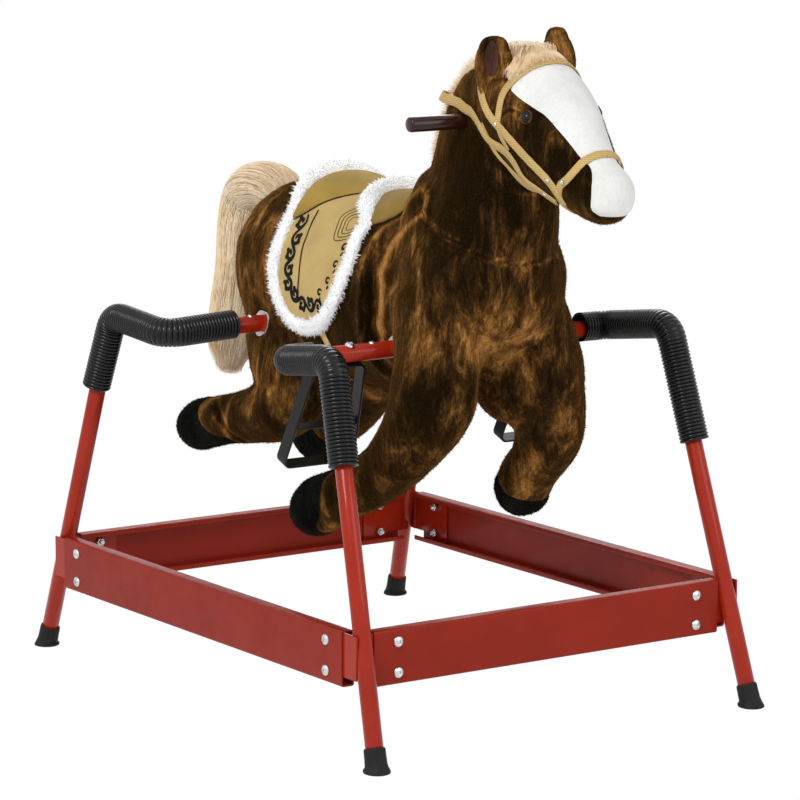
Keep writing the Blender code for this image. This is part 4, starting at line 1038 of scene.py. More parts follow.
# The stuffed body
class Form:
    """The whole body as one fine mesh, with its normals and a tree for casting rays."""

    def __init__(self, voxel):
        limbs = (TORSO, NECK, HEAD, FRONT_RIGHT_LEG, FRONT_LEFT_LEG, REAR_RIGHT_LEG, REAR_LEFT_LEG,
                 BETWEEN_LEGS)
        rough = add_mesh("rough form", *join_parts([limb(s, 28, 4) for s in limbs]), BROWN_PLUSH)
        rough.location = (0, 0, 0)
        remesh = rough.modifiers.new("union", "REMESH")
        remesh.mode = "VOXEL"
        remesh.voxel_size = voxel
        ease = rough.modifiers.new("round", "SMOOTH")
        ease.factor = 0.5
        ease.iterations = round(8 * (0.008 / voxel) ** 2)
        rough.modifiers.new("triangles", "TRIANGULATE")
        apply_modifiers(rough)
        self.mesh = rough.data
        bpy.data.objects.remove(rough)
        bm = bmesh.new()
        bm.from_mesh(self.mesh)
        self.tree = BVHTree.FromBMesh(bm)
        bm.free()

    def cast(self, start, towards):
        """Where a ray first meets the body, and the normal there."""
        start = Vector(start)
        spot, normal, _, _ = self.tree.ray_cast(start, Vector(towards))
        return (spot, normal) if spot else (None, None)

    def side(self, x, z, sy):
        """The body's surface seen from the side."""
        spot, normal = self.cast((x, sy * 0.4, z), (0, -sy, 0))
        if spot is None:
            spot, normal, _, _ = self.tree.find_nearest(Vector((x, sy * 0.02, z)))
        return spot, normal

    def near(self, point):
        spot, normal, _, _ = self.tree.find_nearest(Vector(point))
        return spot, normal

    def outside(self, point, gap):
        """The point itself, or the one over the body at that gap if it lies lower."""
        spot, normal = self.near(point)
        if (Vector(point) - spot).dot(normal) < gap:
            point = spot + normal * gap
        return tuple(point)


def cut_mesh(bm, value):
    """Splits a triangle mesh along the line where value(points) is zero."""
    bm.verts.index_update()
    points = np.array([v.co[:] for v in bm.verts])
    s = value(points)
    s = np.where(np.abs(s) < 1e-6, 1e-6, s)
    made = []
    for edge in [e for e in bm.edges if s[e.verts[0].index] * s[e.verts[1].index] < 0]:
        a, b = edge.verts
        f = s[a.index] / (s[a.index] - s[b.index])
        made.append(bmesh.utils.edge_split(edge, a, f)[1])
    if made:
        bmesh.ops.connect_verts(bm, verts=made)
    bm.verts.index_update()


def part_of(mesh, value, keep_inside=True):
    """The part of a mesh where value is positive, or the rest, cut along its edge."""
    bm = bmesh.new()
    bm.from_mesh(mesh)
    cut_mesh(bm, value)
    bm.faces.ensure_lookup_table()
    centres = np.array([f.calc_center_median()[:] for f in bm.faces])
    inside = value(centres) > 0
    drop = [f for f, i in zip(bm.faces, inside) if bool(i) != keep_inside]
    bmesh.ops.delete(bm, geom=drop, context="FACES")
    made = bpy.data.meshes.new("part")
    bm.to_mesh(made)
    bm.free()
    return made


def vertex_values(mesh, kind):
    values = np.zeros(len(mesh.vertices) * 3)
    mesh.vertices.foreach_get(kind, values)
    return values.reshape(-1, 3)


def mesh_points(mesh):
    return vertex_values(mesh, "co")


def mesh_normals(mesh):
    return vertex_values(mesh, "normal")


def set_points(mesh, points):
    mesh.vertices.foreach_set("co", np.asarray(points, np.float32).ravel())
    mesh.update()


def edge_ring(obj, depth):
    """Turns a sheet's open edges under, towards its inner side."""
    bm = bmesh.new()
    bm.from_mesh(obj.data)
    bm.normal_update()
    normals = {v: v.normal.copy() for v in bm.verts}
    edges = [e for e in bm.edges if e.is_boundary]
    old = len(bm.faces)
    made = bmesh.ops.extrude_edge_only(bm, edges=edges)["geom"]
    for v in (g for g in made if isinstance(g, bmesh.types.BMVert)):
        source = [w for e in v.link_edges for w in e.verts if w in normals and w is not v]
        if source:
            v.co -= normals[source[0]] * depth
    bm.verts.index_update()
    bm.faces.index_update()
    count = len(bm.verts)

    def place(face):
        """Old faces stay first, and the new ones follow in an order that each run repeats."""
        if face.index < old:
            return face.index
        return old + face.verts[0].index * count + face.verts[1].index

    bm.faces.sort(key=place)
    bm.to_mesh(obj.data)
    bm.free()
    obj.data.shade_smooth()


# Seams and creases of the right side, as (x, y, z); the left side's are their mirror images
CHEST_SEAM = (
    (0.175, -0.075, 0.640), (0.202, -0.078, 0.622), (0.223, -0.078, 0.612), (0.247, -0.074, 0.602),
    (0.266, -0.068, 0.596), (0.293, -0.057, 0.584), (0.308, -0.043, 0.579), (0.321, -0.023, 0.575),
    (0.327, 0.000, 0.578),
)
SHOULDER_SEAM = (
    (0.175, -0.075, 0.640), (0.147, -0.075, 0.626), (0.118, -0.072, 0.609), (0.106, -0.080, 0.592),
    (0.101, -0.090, 0.570), (0.100, -0.095, 0.541), (0.103, -0.095, 0.509), (0.100, -0.094, 0.481),
    (0.101, -0.090, 0.450), (0.108, -0.085, 0.420), (0.112, -0.080, 0.395),
)
JAW_SEAM = (
    (0.279, -0.060, 0.711), (0.289, -0.055, 0.698), (0.310, -0.045, 0.682), (0.325, -0.032, 0.671),
    (0.335, -0.015, 0.668),
)
HAUNCH_CREASE = (
    (-0.236, -0.110, 0.336), (-0.222, -0.120, 0.330), (-0.209, -0.118, 0.319), (-0.196, -0.112, 0.308),
    (-0.185, -0.105, 0.297),
)
EYE_CREASE = (
    (0.338, -0.060, 0.760), (0.345, -0.060, 0.765), (0.355, -0.058, 0.766), (0.366, -0.055, 0.761),
)
# How the body sinks along them, as (line, depth, width)
CREASES = (
    (CHEST_SEAM, 0.0024, 0.0032), (SHOULDER_SEAM, 0.0120, 0.0085), (JAW_SEAM, 0.0045, 0.0045),
    (HAUNCH_CREASE, 0.0050, 0.0050), (EYE_CREASE, 0.0016, 0.0022),
)
# Painted shade along them, and a painted highlight on the lip beside it that is partly the pile parting
# at the seams, as (line, width, distance of the light lip in widths, strength)
SEAM_SHADING = (
    (CHEST_SEAM, 0.0026, 1.2, 0.12), (SHOULDER_SEAM, 0.0100, 1.9, 0.19), (JAW_SEAM, 0.0045, 1.6, 0.09),
    (HAUNCH_CREASE, 0.0060, 1.6, 0.09), (EYE_CREASE, 0.0024, 1.6, 0.07),
)
# Bright and dark places of the plush, as (x, y, z, reach, strength); the last two are painted shade in
# the groove behind the shoulder
TONES = (
    (0.105, -0.100, 0.560, 0.055, 0.060), (0.120, -0.100, 0.490, 0.050, 0.045),
    (0.255, -0.030, 0.440, 0.070, 0.060), (0.300, -0.030, 0.500, 0.050, 0.035),
    (-0.200, -0.080, 0.590, 0.045, 0.055), (-0.140, -0.100, 0.500, 0.050, 0.020),
    (-0.150, -0.110, 0.385, 0.055, 0.050), (-0.230, -0.110, 0.330, 0.060, 0.045),
    (-0.235, -0.060, 0.480, 0.045, -0.060), (0.260, -0.060, 0.680, 0.070, -0.075),
    (0.380, -0.060, 0.710, 0.060, -0.070), (0.240, -0.080, 0.740, 0.050, -0.055),
    (0.150, -0.110, 0.340, 0.090, -0.060), (0.215, -0.110, 0.400, 0.050, -0.050),
    (0.230, -0.070, 0.560, 0.060, -0.035), (0.230, 0.130, 0.350, 0.055, 0.045),
    (0.240, 0.050, 0.400, 0.040, -0.060), (0.020, -0.100, 0.420, 0.060, -0.050),
    (0.170, 0.100, 0.285, 0.045, 0.030), (-0.080, -0.080, 0.400, 0.050, 0.015),
    # Painted shade in the groove behind the shoulder
    (0.080, -0.100, 0.520, 0.026, -0.120), (0.085, -0.100, 0.450, 0.030, -0.120),
)


def space_line(points, steps=6):
    """A Catmull-Rom line through (x, y, z) points."""
    count = (len(points) - 1) * steps
    return np.array([tuple(spline(points, i / steps)) for i in range(count + 1)])


def space_distance(points, line, limit):
    """Distance from each point to a line in space, worked out only within limit of its box."""
    near = np.all((points > line.min(0) - limit) & (points < line.max(0) + limit), axis=1)
    result = np.full(len(points), 1e3)
    close = points[near]
    best = np.full(len(close), 1e3)
    for a, b in zip(line, line[1:]):
        d = b - a
        t = np.clip(((close - a) @ d) / max(d @ d, 1e-12), 0, 1)
        best = np.minimum(best, np.linalg.norm(close - a - t[:, None] * d, axis=1))
    result[near] = best
    return result


def crease(points, line, depth, width):
    """How far points sink beside both sides' copies of a sewn line, with a raised lip along it."""
    sink = np.zeros(len(points))
    for sy in (-1, 1):
        path = space_line(line) * (1, -sy, 1)
        d = space_distance(points, path, 0.04) / width
        sink += depth * (np.exp(-d ** 2) - 0.25 * np.exp(-(d - 2.1) ** 2))
    return sink


def hoof_value(corner):
    outline = smooth_line(HOOVES[corner], 4, closed=True)
    sy = CORNERS[corner][1]

    def value(points):
        return np.minimum(inside_distance(points, outline), sy * points[:, 1] - HOOF_IN_Y)

    return value


FACE_LINE = smooth_line(FACE[:14], 5)
FACE_OUTLINE = np.array([*FACE_LINE, *FACE[14:]])


def face_value(points):
    return inside_distance(points, FACE_OUTLINE)


def hole_pits(points, normals):
    """Pits round the cross tubes where they leave the body."""
    sink = np.zeros(len(points))
    for x in (BAR_X, -BAR_X):
        r = np.hypot(points[:, 0] - x, points[:, 2] - BAR_Z)
        beside = np.abs(normals[:, 1]) > 0.35
        sink = np.maximum(sink, np.where(beside, 0.009 * (1 - smoothstep(r, 0.0145, 0.0185)), 0))
    return sink


def build_body(form):
    """The plush body, white face and hooves, parted along their seams."""
    points, normals = mesh_points(form.mesh), mesh_normals(form.mesh)
    sink = sum(crease(points, *row) for row in CREASES)
    face = face_value(points)
    sink += 0.0014 * np.exp(-(face / 0.0030) ** 2)
    values = {corner: hoof_value(corner) for corner in CORNERS}
    for value in values.values():
        sink += 0.0018 * np.exp(-(value(points) / 0.0030) ** 2)
    lumps = noise_field(points, 26.0) * 0.0014 + noise_field(points, (75.0, 75.0, 38.0), 2) * 0.0007
    quiet = np.maximum(smoothstep(points[:, 0], 0.38, 0.44), smoothstep(face, 0.0, 0.01))
    lumps = lumps * (1 - 0.85 * quiet)
    pits = hole_pits(points, normals)
    moved = points - normals * (sink - lumps)[:, None]
    moved[:, 1] -= np.sign(points[:, 1]) * pits
    whole = form.mesh.copy()
    set_points(whole, moved)
    face = object_of(part_of(whole, face_value), "white_face_looks", WHITE_PLUSH)
    dress(face, "white_face")
    for corner, value in values.items():
        hoof = part_of(whole, value)
        rough_pile(hoof, f"hoof_{corner}_pile", BLACK_PLUSH, 5000, 0.0034, 11)
        hoof = object_of(hoof, f"hoof_{corner}_looks", BLACK_PLUSH)
        dress(hoof, f"hoof_{corner}")
    for value in (face_value, *values.values()):
        whole = part_of(whole, value, keep_inside=False)
    for part in (1, 2):
        rough_pile(whole, f"plush_pile_{part}", BROWN_PLUSH, 48000, 0.0036, 11 + part)
    set_tone(whole, body_tone(mesh_points(whole)))
    body = object_of(whole, "plush_body_looks", BROWN_PLUSH)
    dress(body, "plush_body")


def body_tone(points):
    """How bright or dark the plush is: crushed patches where the pile lies bright or dark, the bright
    and dark places, and painted shade along the seams and creases with a painted highlight on the lip
    beside it.
    """
    tone = noise_field(points, 8.0, 9) * 0.045
    # Bright and dark places, among them painted shade in the groove behind the shoulder
    for x, y, z, reach, strength in TONES:
        d = np.linalg.norm(points - (x, y, z), axis=1) / reach
        tone += strength * np.exp(-d ** 2)
    # Painted shade in the seams and creases, and a painted highlight on the lip beside them
    for line, width, lip, strength in SEAM_SHADING:
        for sy in (-1, 1):
            d = space_distance(points, space_line(line) * (1, -sy, 1), 0.05) / width
            tone += strength * (0.8 * np.exp(-(d - lip) ** 2 * 4) - np.exp(-d ** 2 * 1.5))
    return tone


def set_tone(mesh, tone):
    attribute = mesh.attributes.new("tone", "FLOAT", "POINT")
    attribute.data.foreach_set("value", np.asarray(tone, np.float32))


def scattered(mesh, count, rng):
    """Random places spread evenly over a triangle mesh, and the normals there."""
    points, normals = mesh_points(mesh), mesh_normals(mesh)
    loops = np.zeros(len(mesh.loops), int)
    mesh.loops.foreach_get("vertex_index", loops)
    starts = np.zeros(len(mesh.polygons), int)
    mesh.polygons.foreach_get("loop_start", starts)
    corners = np.stack([loops[starts], loops[starts + 1], loops[starts + 2]], 1)
    a, b, c = (points[corners[:, k]] for k in range(3))
    area = np.linalg.norm(np.cross(b - a, c - a), axis=1)
    chosen = rng.choice(len(area), count, p=area / area.sum())
    u, v = rng.random(count), rng.random(count)
    u, v = np.where(u + v > 1, 1 - u, u)[:, None], np.where(u + v > 1, 1 - v, v)[:, None]
    places = a[chosen] + (b - a)[chosen] * u + (c - a)[chosen] * v
    return places, normals[corners[chosen, 0]]


def rough_pile(mesh, name, material, count, length, seed, tone=0.0):
    """Short leaning tufts over a mesh, crushed in patches and brighter by tone."""
    rng = np.random.default_rng(seed)
    root, normal = scattered(mesh, count, rng)
    keep = saddle_value(root) < 0.004
    root, normal = root[keep], normal[keep]
    lay = np.stack([noise_field(root, 16, 3 * k + seed % 2) for k in range(3)], 1) * 0.9 + (0, 0, -0.55)
    lay -= normal * (lay * normal).sum(1)[:, None]
    lay += rng.normal(0, 0.28, lay.shape)
    up = 0.26 + 0.20 * noise_field(root, 30, 5)
    direction = normal * up[:, None] + lay
    direction /= np.linalg.norm(direction, axis=1)[:, None]
    side = np.cross(direction, normal)
    side /= np.linalg.norm(side, axis=1)[:, None] + 1e-9
    over = np.cross(side, direction)
    size = length * rng.uniform(0.6, 1.15, len(root))[:, None]
    wide = 0.00052
    foot = root - normal * 0.0006
    verts = np.stack([foot + side * wide, foot - side * wide, foot + over * wide * 0.8,
                      foot + direction * size], 1).reshape(-1, 3)
    base = np.arange(len(root))[:, None] * 4
    faces = np.concatenate([base + f for f in ((0, 1, 3), (1, 2, 3), (2, 0, 3), (0, 2, 1))])
    obj = mesh_object(name, verts, faces, material)
    set_tone(obj.data, np.repeat(body_tone(root) + tone, 4))
    dress(obj)


def mesh_object(name, verts, faces, material):
    """An object from arrays of points and of equal-sided faces, as they are."""
    mesh = bpy.data.meshes.new(name)
    count, sides = faces.shape
    mesh.vertices.add(len(verts))
    mesh.vertices.foreach_set("co", np.asarray(verts, np.float32).ravel())
    mesh.loops.add(count * sides)
    mesh.loops.foreach_set("vertex_index", np.asarray(faces, np.int32).ravel())
    mesh.polygons.add(count)
    mesh.polygons.foreach_set("loop_start", np.arange(0, count * sides, sides, dtype=np.int32))
    mesh.update(calc_edges=True)
    return object_of(mesh, name, material, smooth=None)


# Strands
def strands(name, paths, radius, material, *nodes):
    """Thin tapered closed strands along paths of equal point counts."""
    paths = np.asarray(paths)
    count, length, _ = paths.shape
    sides = 3
    tangent = np.gradient(paths, axis=1)
    tangent /= np.linalg.norm(tangent, axis=2, keepdims=True) + 1e-12
    helper = np.where(np.abs(tangent[..., 2:3]) > 0.9, [1.0, 0, 0], [0, 0, 1.0])
    side = np.cross(tangent, helper)
    side /= np.linalg.norm(side, axis=2, keepdims=True) + 1e-12
    up = np.cross(tangent, side)
    taper = radius * np.clip(1.15 - np.linspace(0, 1, length) ** 2, 0.12, 1)[None, :, None]
    rings = [paths + taper * (side * math.cos(a) + up * math.sin(a))
             for a in (math.tau * k / sides for k in range(sides))]
    verts = np.stack(rings, axis=2).reshape(-1, 3)
    strand = np.arange(count)[:, None] * length
    base = (strand + np.arange(length - 1)[None, :]).reshape(-1) * sides
    faces = []
    for k in range(sides):
        j = (k + 1) % sides
        faces.append(np.stack([base + k, base + j, base + sides + j], 1))
        faces.append(np.stack([base + k, base + sides + j, base + sides + k], 1))
    first, last = strand[:, 0] * sides, (strand[:, 0] + length - 1) * sides
    faces.append(np.stack([first + 2, first + 1, first], 1))
    faces.append(np.stack([last, last + 1, last + 2], 1))
    obj = mesh_object(name, verts, np.concatenate(faces), material)
    return dress(obj, *nodes)


class Track:
    """Finely sampled stations, for reading many places at once."""

    def __init__(self, stations):
        last = len(stations) - 1
        samples = 24
        self.t = np.linspace(0, last, last * samples + 1)
        rows = [station(stations, t) for t in self.t]
        self.columns = [np.array([tuple(r[k]) if k < 4 else (r[k],) for r in rows]) for k in range(6)]

    def at(self, t):
        """Centre, axis, up, side, half height and half width at each t."""
        return [
            np.stack([np.interp(t, self.t, part) for part in column.T], -1) for column in self.columns
        ]


def build_core(name, stations, sides, steps, material):
    """A slimmer form under the hair, so that the gaps between strands aren't empty."""
    slimmer = [(x, y, z, high * 0.8, wide * 0.8) for x, y, z, high, wide in stations]
    dress(add_mesh(name, *limb(slimmer, sides, steps), material))


def build_tail():
    """A full tail of combed strands over a soft core."""
    last = len(TAIL) - 1
    build_core("tail_core", TAIL, 24, 6, TAIL_BLOND)
    track = Track(TAIL)
    steps = 12
    f = np.linspace(0, 1, steps)[None, :]
    for part in range(3):
        rng = np.random.default_rng(5 + part)
        count = 2700
        clumps = rng.normal(0, 0.5, (140, 2))
        clump = clumps[rng.integers(len(clumps), size=count)]
        r = np.sqrt(rng.uniform(0.50, 1.0, count))[:, None]
        angle = rng.uniform(0, math.tau, count)[:, None]
        begin = rng.uniform(0, last - 1.6, count)[:, None]
        reach = rng.uniform(1.6, 3.6, count)[:, None]
        end = np.minimum(begin + reach, last + rng.uniform(-0.3, 0.0, count)[:, None])
        t = begin + (end - begin) * f
        centre, _, up, side, high, wide = track.at(t)
        tip = smoothstep(t, last - 1.6, last)
        wander = rng.normal(0, 0.12, (count, 2))
        lift = 0.97 + 0.10 * np.sin(np.pi * f)
        a = r * np.cos(angle) * (1 - 0.30 * tip) * lift + (clump[:, :1] * 0.14 + wander[:, :1]) * f
        b = r * np.sin(angle) * (1 - 0.30 * tip) * lift + (clump[:, 1:] * 0.14 + wander[:, 1:]) * f
        over = np.maximum(np.hypot(a, b) / 1.02, 1)
        slim = 1 - 0.06 * np.exp(-((t - 4.5) / 1.5) ** 2)
        high, wide = np.maximum(high * slim[..., None], 0.022), np.maximum(wide, 0.022)
        paths = centre + side * wide * (a / over)[..., None] + up * high * (b / over)[..., None]
        nodes = ("tail",) if part == 0 else ()
        strands(f"tail_hair_{part + 1}", paths, 0.00045, TAIL_BLOND, *nodes)


def build_mane():
    """Thick hair along the crest, combed back."""
    last = len(MANE) - 1
    build_core("mane_core", MANE, 20, 5, MANE_BLOND)
    track = Track(MANE)
    steps = 8
    f = np.linspace(0, 1, steps)[None, :, None]
    for part in range(2):
        rng = np.random.default_rng(9 + part)
        count = 4000
        t = rng.uniform(0.0, last, count)
        lock = np.round(t * 9) / 9 + rng.normal(0, 0.02, count)
        centre, axis, up, side, high, wide = track.at(t)
        outward = np.where(up[:, 2:3] < 0, -up, up)
        outward = np.where((outward @ np.array([-0.4, 0, 1]))[:, None] < 0, -outward, outward)
        across = rng.uniform(-1, 1, (count, 1))
        root = centre - outward * (high + 0.010) + side * wide * across * 0.8
        grown = 1.30 - 0.16 * smoothstep(t, 1.0, 2.4)[:, None] - 0.28 * smoothstep(t, 4.0, 5.6)[:, None]
        domed = np.sqrt(1 - 0.75 * across ** 2)
        height = (2 * high + 0.010) * rng.uniform(0.7, 1.0, (count, 1)) * domed * grown
        lean = axis * rng.uniform(-0.016, -0.002, (count, 1)) + axis * (lock - t)[:, None] * 0.03
        lean += side * across * wide * 0.45 + rng.normal(0, 0.0014, (count, 3))
        paths = root[:, None] + outward[:, None] * height[:, None] * f + lean[:, None] * f ** 2
        nodes = ("mane",) if part == 0 else ()
        strands(f"mane_hair_{part + 1}", paths, 0.00055, MANE_BLOND, *nodes)


def build_forelock(form):
    """Hair that falls forward between the ears and lies on the brow."""
    f = np.linspace(0, 1, 8)[None, :, None]
    rng = np.random.default_rng(21)
    count = 3200
    start = np.stack([rng.uniform(0.272, 0.318, count), rng.uniform(-0.014, 0.030, count),
                      rng.uniform(0.824, 0.838, count)], 1)
    reach = rng.uniform(0.55, 1.0, (count, 1))
    aim = np.stack([rng.normal(0.340, 0.006, count),
                    start[:, 1] * 1.3 - 0.030 + rng.normal(0, 0.004, count),
                    rng.normal(0.800, 0.004, count)], 1)
    end = start + (aim - start) * reach
    bulge = np.array([0.004, -0.002, 0.010])[None, :] + rng.normal(0, 0.002, (count, 3))
    paths = start[:, None] * (1 - f) + end[:, None] * f + bulge[:, None] * 4 * f * (1 - f)
    clear = [[form.outside(p, 0.003) for p in path] for path in paths]
    strands("forelock", clear, 0.00055, MANE_BLOND)


class Ear:
    """A thick cupped ear; the cup lies to one side and holds a darker lining."""

    def __init__(self, stations, across, facing):
        self.stations = stations
        self.across = across
        self.facing = facing

    def measures(self, t):
        """Centre and half sizes at t, rounded off over the tip."""
        size = spline([(s[3], s[4], 0) for s in self.stations], min(t, 3.0))
        tip = math.sqrt(max(0.02, 1 - max(0.0, (t - 2.7) / 1.32) ** 2))
        return spline([s[:3] for s in self.stations], t), size * tip

    def front(self, t, u, lift=0.0):
        """The cupped front at t along the ear and u across it, from -1 to 1."""
        centre, size = self.measures(t)
        round_off = math.sqrt(max(0.0, 1 - u * u))
        span = math.sin(math.pi * min(1.0, (t + 0.35) / 4.35)) ** 0.5
        cup = 0.95 * size.x * span * math.exp(-((u + 0.22) / 0.40) ** 4)
        return centre + self.across * size.y * u + self.facing * (size.x * round_off ** 0.8 - cup + lift)

    def ring(self, t, sides):
        centre, size = self.measures(t)
        points = []
        for k in range(sides):
            a = math.tau * k / sides
            if math.sin(a) >= 0:
                points.append(self.front(t, math.cos(a)))
            else:
                back = self.facing * size.x * math.sin(a)
                points.append(centre + self.across * size.y * math.cos(a) + back)
        return points

    def lining_ring(self, t):
        """The outer and then the inner side of the lining at t."""
        half = 0.40 * math.sqrt(max(0.02, 1 - ((t - 2.46) / 1.10) ** 2))
        places = np.linspace(-0.14 - half, -0.14 + half, 12)
        outer = [self.front(t, u, 0.0016) for u in places]
        inner = [self.front(t, u, -0.0010) for u in places[::-1]]
        return outer + inner


def build_ears():
    ears = {
        "right": Ear(RIGHT_EAR, Vector((0.60, 0.80, 0)), Vector((0.80, -0.60, 0))),
        "left": Ear(LEFT_EAR, Vector((0, 1, 0)), Vector((-1, 0, 0))),
    }
    steps = 6
    brighter = 0.085
    for name, ear in ears.items():
        rings = [ear.ring(i / steps, 48) for i in range((len(ear.stations) - 1) * steps + 1)]
        obj = add_mesh(f"ear_{name}_looks", *skin(rings), BROWN_PLUSH, 80)
        set_tone(obj.data, brighter + noise_field(mesh_points(obj.data), 60, 8) * 0.05)
        rough_pile(obj.data, f"ear_{name}_pile", BROWN_PLUSH, 2600, 0.0026, 17, brighter)
        dress(obj, f"ear_{name}")
        rings = [ear.lining_ring(t) for t in np.linspace(1.36, 3.56, 20)]
        dress(add_mesh(f"ear_{name}_lining", *skin(rings), EAR_PLUSH, 80))


def build_eyes(form):
    """Small dark glass eyes, each set in a rim."""
    for side, sy in (("right", -1), ("left", 1)):
        spot, normal = form.near((EYE_SPOT[0], sy * EYE_SPOT[1], EYE_SPOT[2]))
        profile = [(-0.006, EYE_R * 0.9), (0.0, EYE_R)]
        profile += [(EYE_R * 0.72 * math.sin(a), EYE_R * math.cos(a))
                    for a in (math.pi / 2 * k / 8 for k in range(1, 8))]
        profile.append((EYE_R * 0.72, 0.0004))
        obj = add_mesh(f"eye_{side}_looks", *turned(spot, normal, profile, 32), EYE_BLACK, 60)
        dress(obj, f"eye_{side}")
        lid = [p + normal * 0.0010 for p in circle(spot, normal, EYE_R * 1.08, 40)]
        rings = []
        for i, p in enumerate(lid):
            tangent = (lid[(i + 1) % len(lid)] - lid[i - 1]).normalized()
            rings.append(circle(p, tangent, 0.0013 + 0.0003 * math.sin(i * 2.1), 8))
        dress(add_mesh(f"eye_{side}_lid", *skin(rings, loop=True), LID, 80))


def build_hole_linings(form):
    """White cloth that lines the holes where the cross tubes leave the body."""
    levels = ((TUBE_R + 0.0012, 0.010), (0.0138, 0.0070), (0.0152, 0.0030), (0.0166, 0.0))
    sides = 36
    for end, x in (("front", BAR_X), ("rear", -BAR_X)):
        for side, sy in (("right", -1), ("left", 1)):
            rings = []
            for radius, sink in levels:
                ring = []
                for k in range(sides):
                    a = math.tau * k / sides
                    px, pz = x + radius * math.cos(a), BAR_Z + radius * math.sin(a)
                    spot, _ = form.side(px, pz, sy)
                    ring.append(Vector((px, spot.y - sy * (sink - 0.0006), pz)))
                rings.append(ring)
            verts = [p for ring in rings for p in ring]
            faces = []
            for r in range(len(levels) - 1):
                low, high = r * sides, (r + 1) * sides
                for k in range(sides):
                    after = (k + 1) % sides
                    faces.append((low + k, low + after, high + after, high + k))
            dress(add_mesh(f"hole_lining_{end}_{side}", verts, faces, LINING, 80))


# Saddle
PAD_LIFT = 0.0040
BORDER = ((-0.066, 0.600), (-0.067, 0.578), (-0.066, 0.553), (-0.067, 0.530), (-0.058, 0.508),
          (-0.036, 0.496), (-0.008, 0.493), (0.012, 0.500))
PIPING = ((-0.052, 0.606), (-0.046, 0.580), (-0.045, 0.560), (-0.041, 0.530), (-0.042, 0.500))
MOTIFS = ((0.040, 0.570), (0.034, 0.549), (0.024, 0.528), (0.008, 0.512))
NEST = ((0.052, 0.586), (0.034, 0.579), (0.014, 0.577), (0.006, 0.590), (0.001, 0.603), (0.011, 0.612),
        (0.034, 0.616))
NEST_CENTRE = np.array([0.036, 0.598])
SADDLE_OUTLINE = np.array([*SADDLE[:2], *smooth_line(SADDLE[2:-1], 5), SADDLE[-1]])
SEAT_OUTLINE = np.array([SEAT[0], *smooth_line(SEAT[1:-2], 5), *SEAT[-2:]])


def saddle_value(points):
    return inside_distance(points, SADDLE_OUTLINE)


def refined(mesh):
    """The same mesh with each triangle split in four."""
    bm = bmesh.new()
    bm.from_mesh(mesh)
    bmesh.ops.subdivide_edges(bm, edges=bm.edges, cuts=1, use_grid_fill=True)
    bmesh.ops.triangulate(bm, faces=bm.faces)
    bm.to_mesh(mesh)
    bm.free()
    return mesh


def raised(mesh, height):
    """A mesh moved along its normals by height(points)."""
    points, normals = mesh_points(mesh), mesh_normals(mesh)
    set_points(mesh, points + normals * height(points)[:, None])
    return mesh


def build_saddle(form):
    """Pad, seat, front piece, piping, printed ornament and fleece trim."""
    def inner(points):
        return saddle_value(points) - TRIM_W * 0.8

    def seat_value(points):
        return np.minimum(inside_distance(points, SEAT_OUTLINE), inner(points))

    def front_value(points):
        flap = inside_distance(points, smooth_line(SADDLE_FRONT, 3, closed=True))
        return np.minimum(flap, 0.004 - saddle_value(points))

    def pad_value(points):
        return saddle_value(points) - 0.004

    def pad_height(points):
        return PAD_LIFT + noise_field(points, 30, 4) * 0.0006

    def roll(points):
        t = np.clip(front_value(points) / 0.014, 0, 1)
        return 0.0020 + 0.0085 * np.sqrt(np.maximum(0, 1 - (1 - t) ** 2))

    def crown(points):
        d = np.maximum(seat_value(points), 0)
        t = np.clip(d / 0.024, 0, 1)
        puff = np.sqrt(np.maximum(0, 1 - (1 - t) ** 2))
        return 0.0025 + 0.0145 * puff + noise_field(points, 24, 6) * 0.0010 * puff

    def trim_value(points):
        s = saddle_value(points)
        return np.minimum(s + 0.001, TRIM_W - s)

    def trim_height(points):
        d = np.clip(trim_value(points) / (TRIM_W / 2), 0, 1)
        lumps = noise_field(points, 80, 7) * 0.0016 + noise_field(points, 240, 8) * 0.0008
        thick = 0.0068 + 0.0125 * smoothstep(points[:, 2], 0.600, 0.630)
        return 0.0035 + thick * np.sqrt(np.maximum(0, 1 - (1 - d) ** 2)) + lumps * d

    def layer(name, value, height, material, *nodes, turn_in=0.004):
        """A layer raised by height over the part of the body where value is positive."""
        mesh = raised(refined(part_of(form.mesh, value)), height)
        obj = object_of(mesh, name, material)
        edge_ring(obj, turn_in)
        dress(obj, *nodes)
        return mesh

    layer("saddle_pad_looks", pad_value, pad_height, PAD_CLOTH, "saddle_pad")
    # The front piece's cloth is darkened as painted shade on the saddle's front face
    layer("saddle_front", front_value, roll, SHADED_FRONT_CLOTH)
    layer("saddle_seat_looks", seat_value, crown, SEAT_CLOTH, "saddle_seat")
    trim = layer("saddle_trim_looks", trim_value, trim_height, FLEECE, "saddle_trim", turn_in=0.006)
    build_fleece(trim)
    build_print(form)


def on_pad(form, x, z, sy, lift):
    """A point on the pad's cloth and the way out of it."""
    spot, normal = form.side(x, z, sy)
    return spot + normal * (PAD_LIFT + lift), normal


def flat_line(form, points, sy, width, lift=0.0004, thick=0.0005):
    """A thin printed or sewn line over the pad, along (x, z) points, thinning to its ends."""
    rings = []
    path = [on_pad(form, x, z, sy, lift) for x, z in points]
    count = len(path)
    for i, (point, normal) in enumerate(path):
        tangent = (path[min(i + 1, count - 1)][0] - path[max(i - 1, 0)][0]).normalized()
        across = tangent.cross(normal).normalized()
        half = width / 2 * (0.35 + 0.65 * math.sin(math.pi * (i + 0.5) / count) ** 0.5)
        rings.append([point + across * half, point + normal * thick, point - across * half,
                      point - normal * thick])
    return skin(rings)


def curl(centre, start, turns, outer, inner):
    """An inward spiral of (x, z) points."""
    steps = 18
    points = []
    for i in range(steps + 1):
        f = i / steps
        a = start + turns * math.tau * f
        r = outer + (inner - outer) * f
        points.append((centre[0] + r * math.cos(a), centre[1] + r * math.sin(a)))
    return points


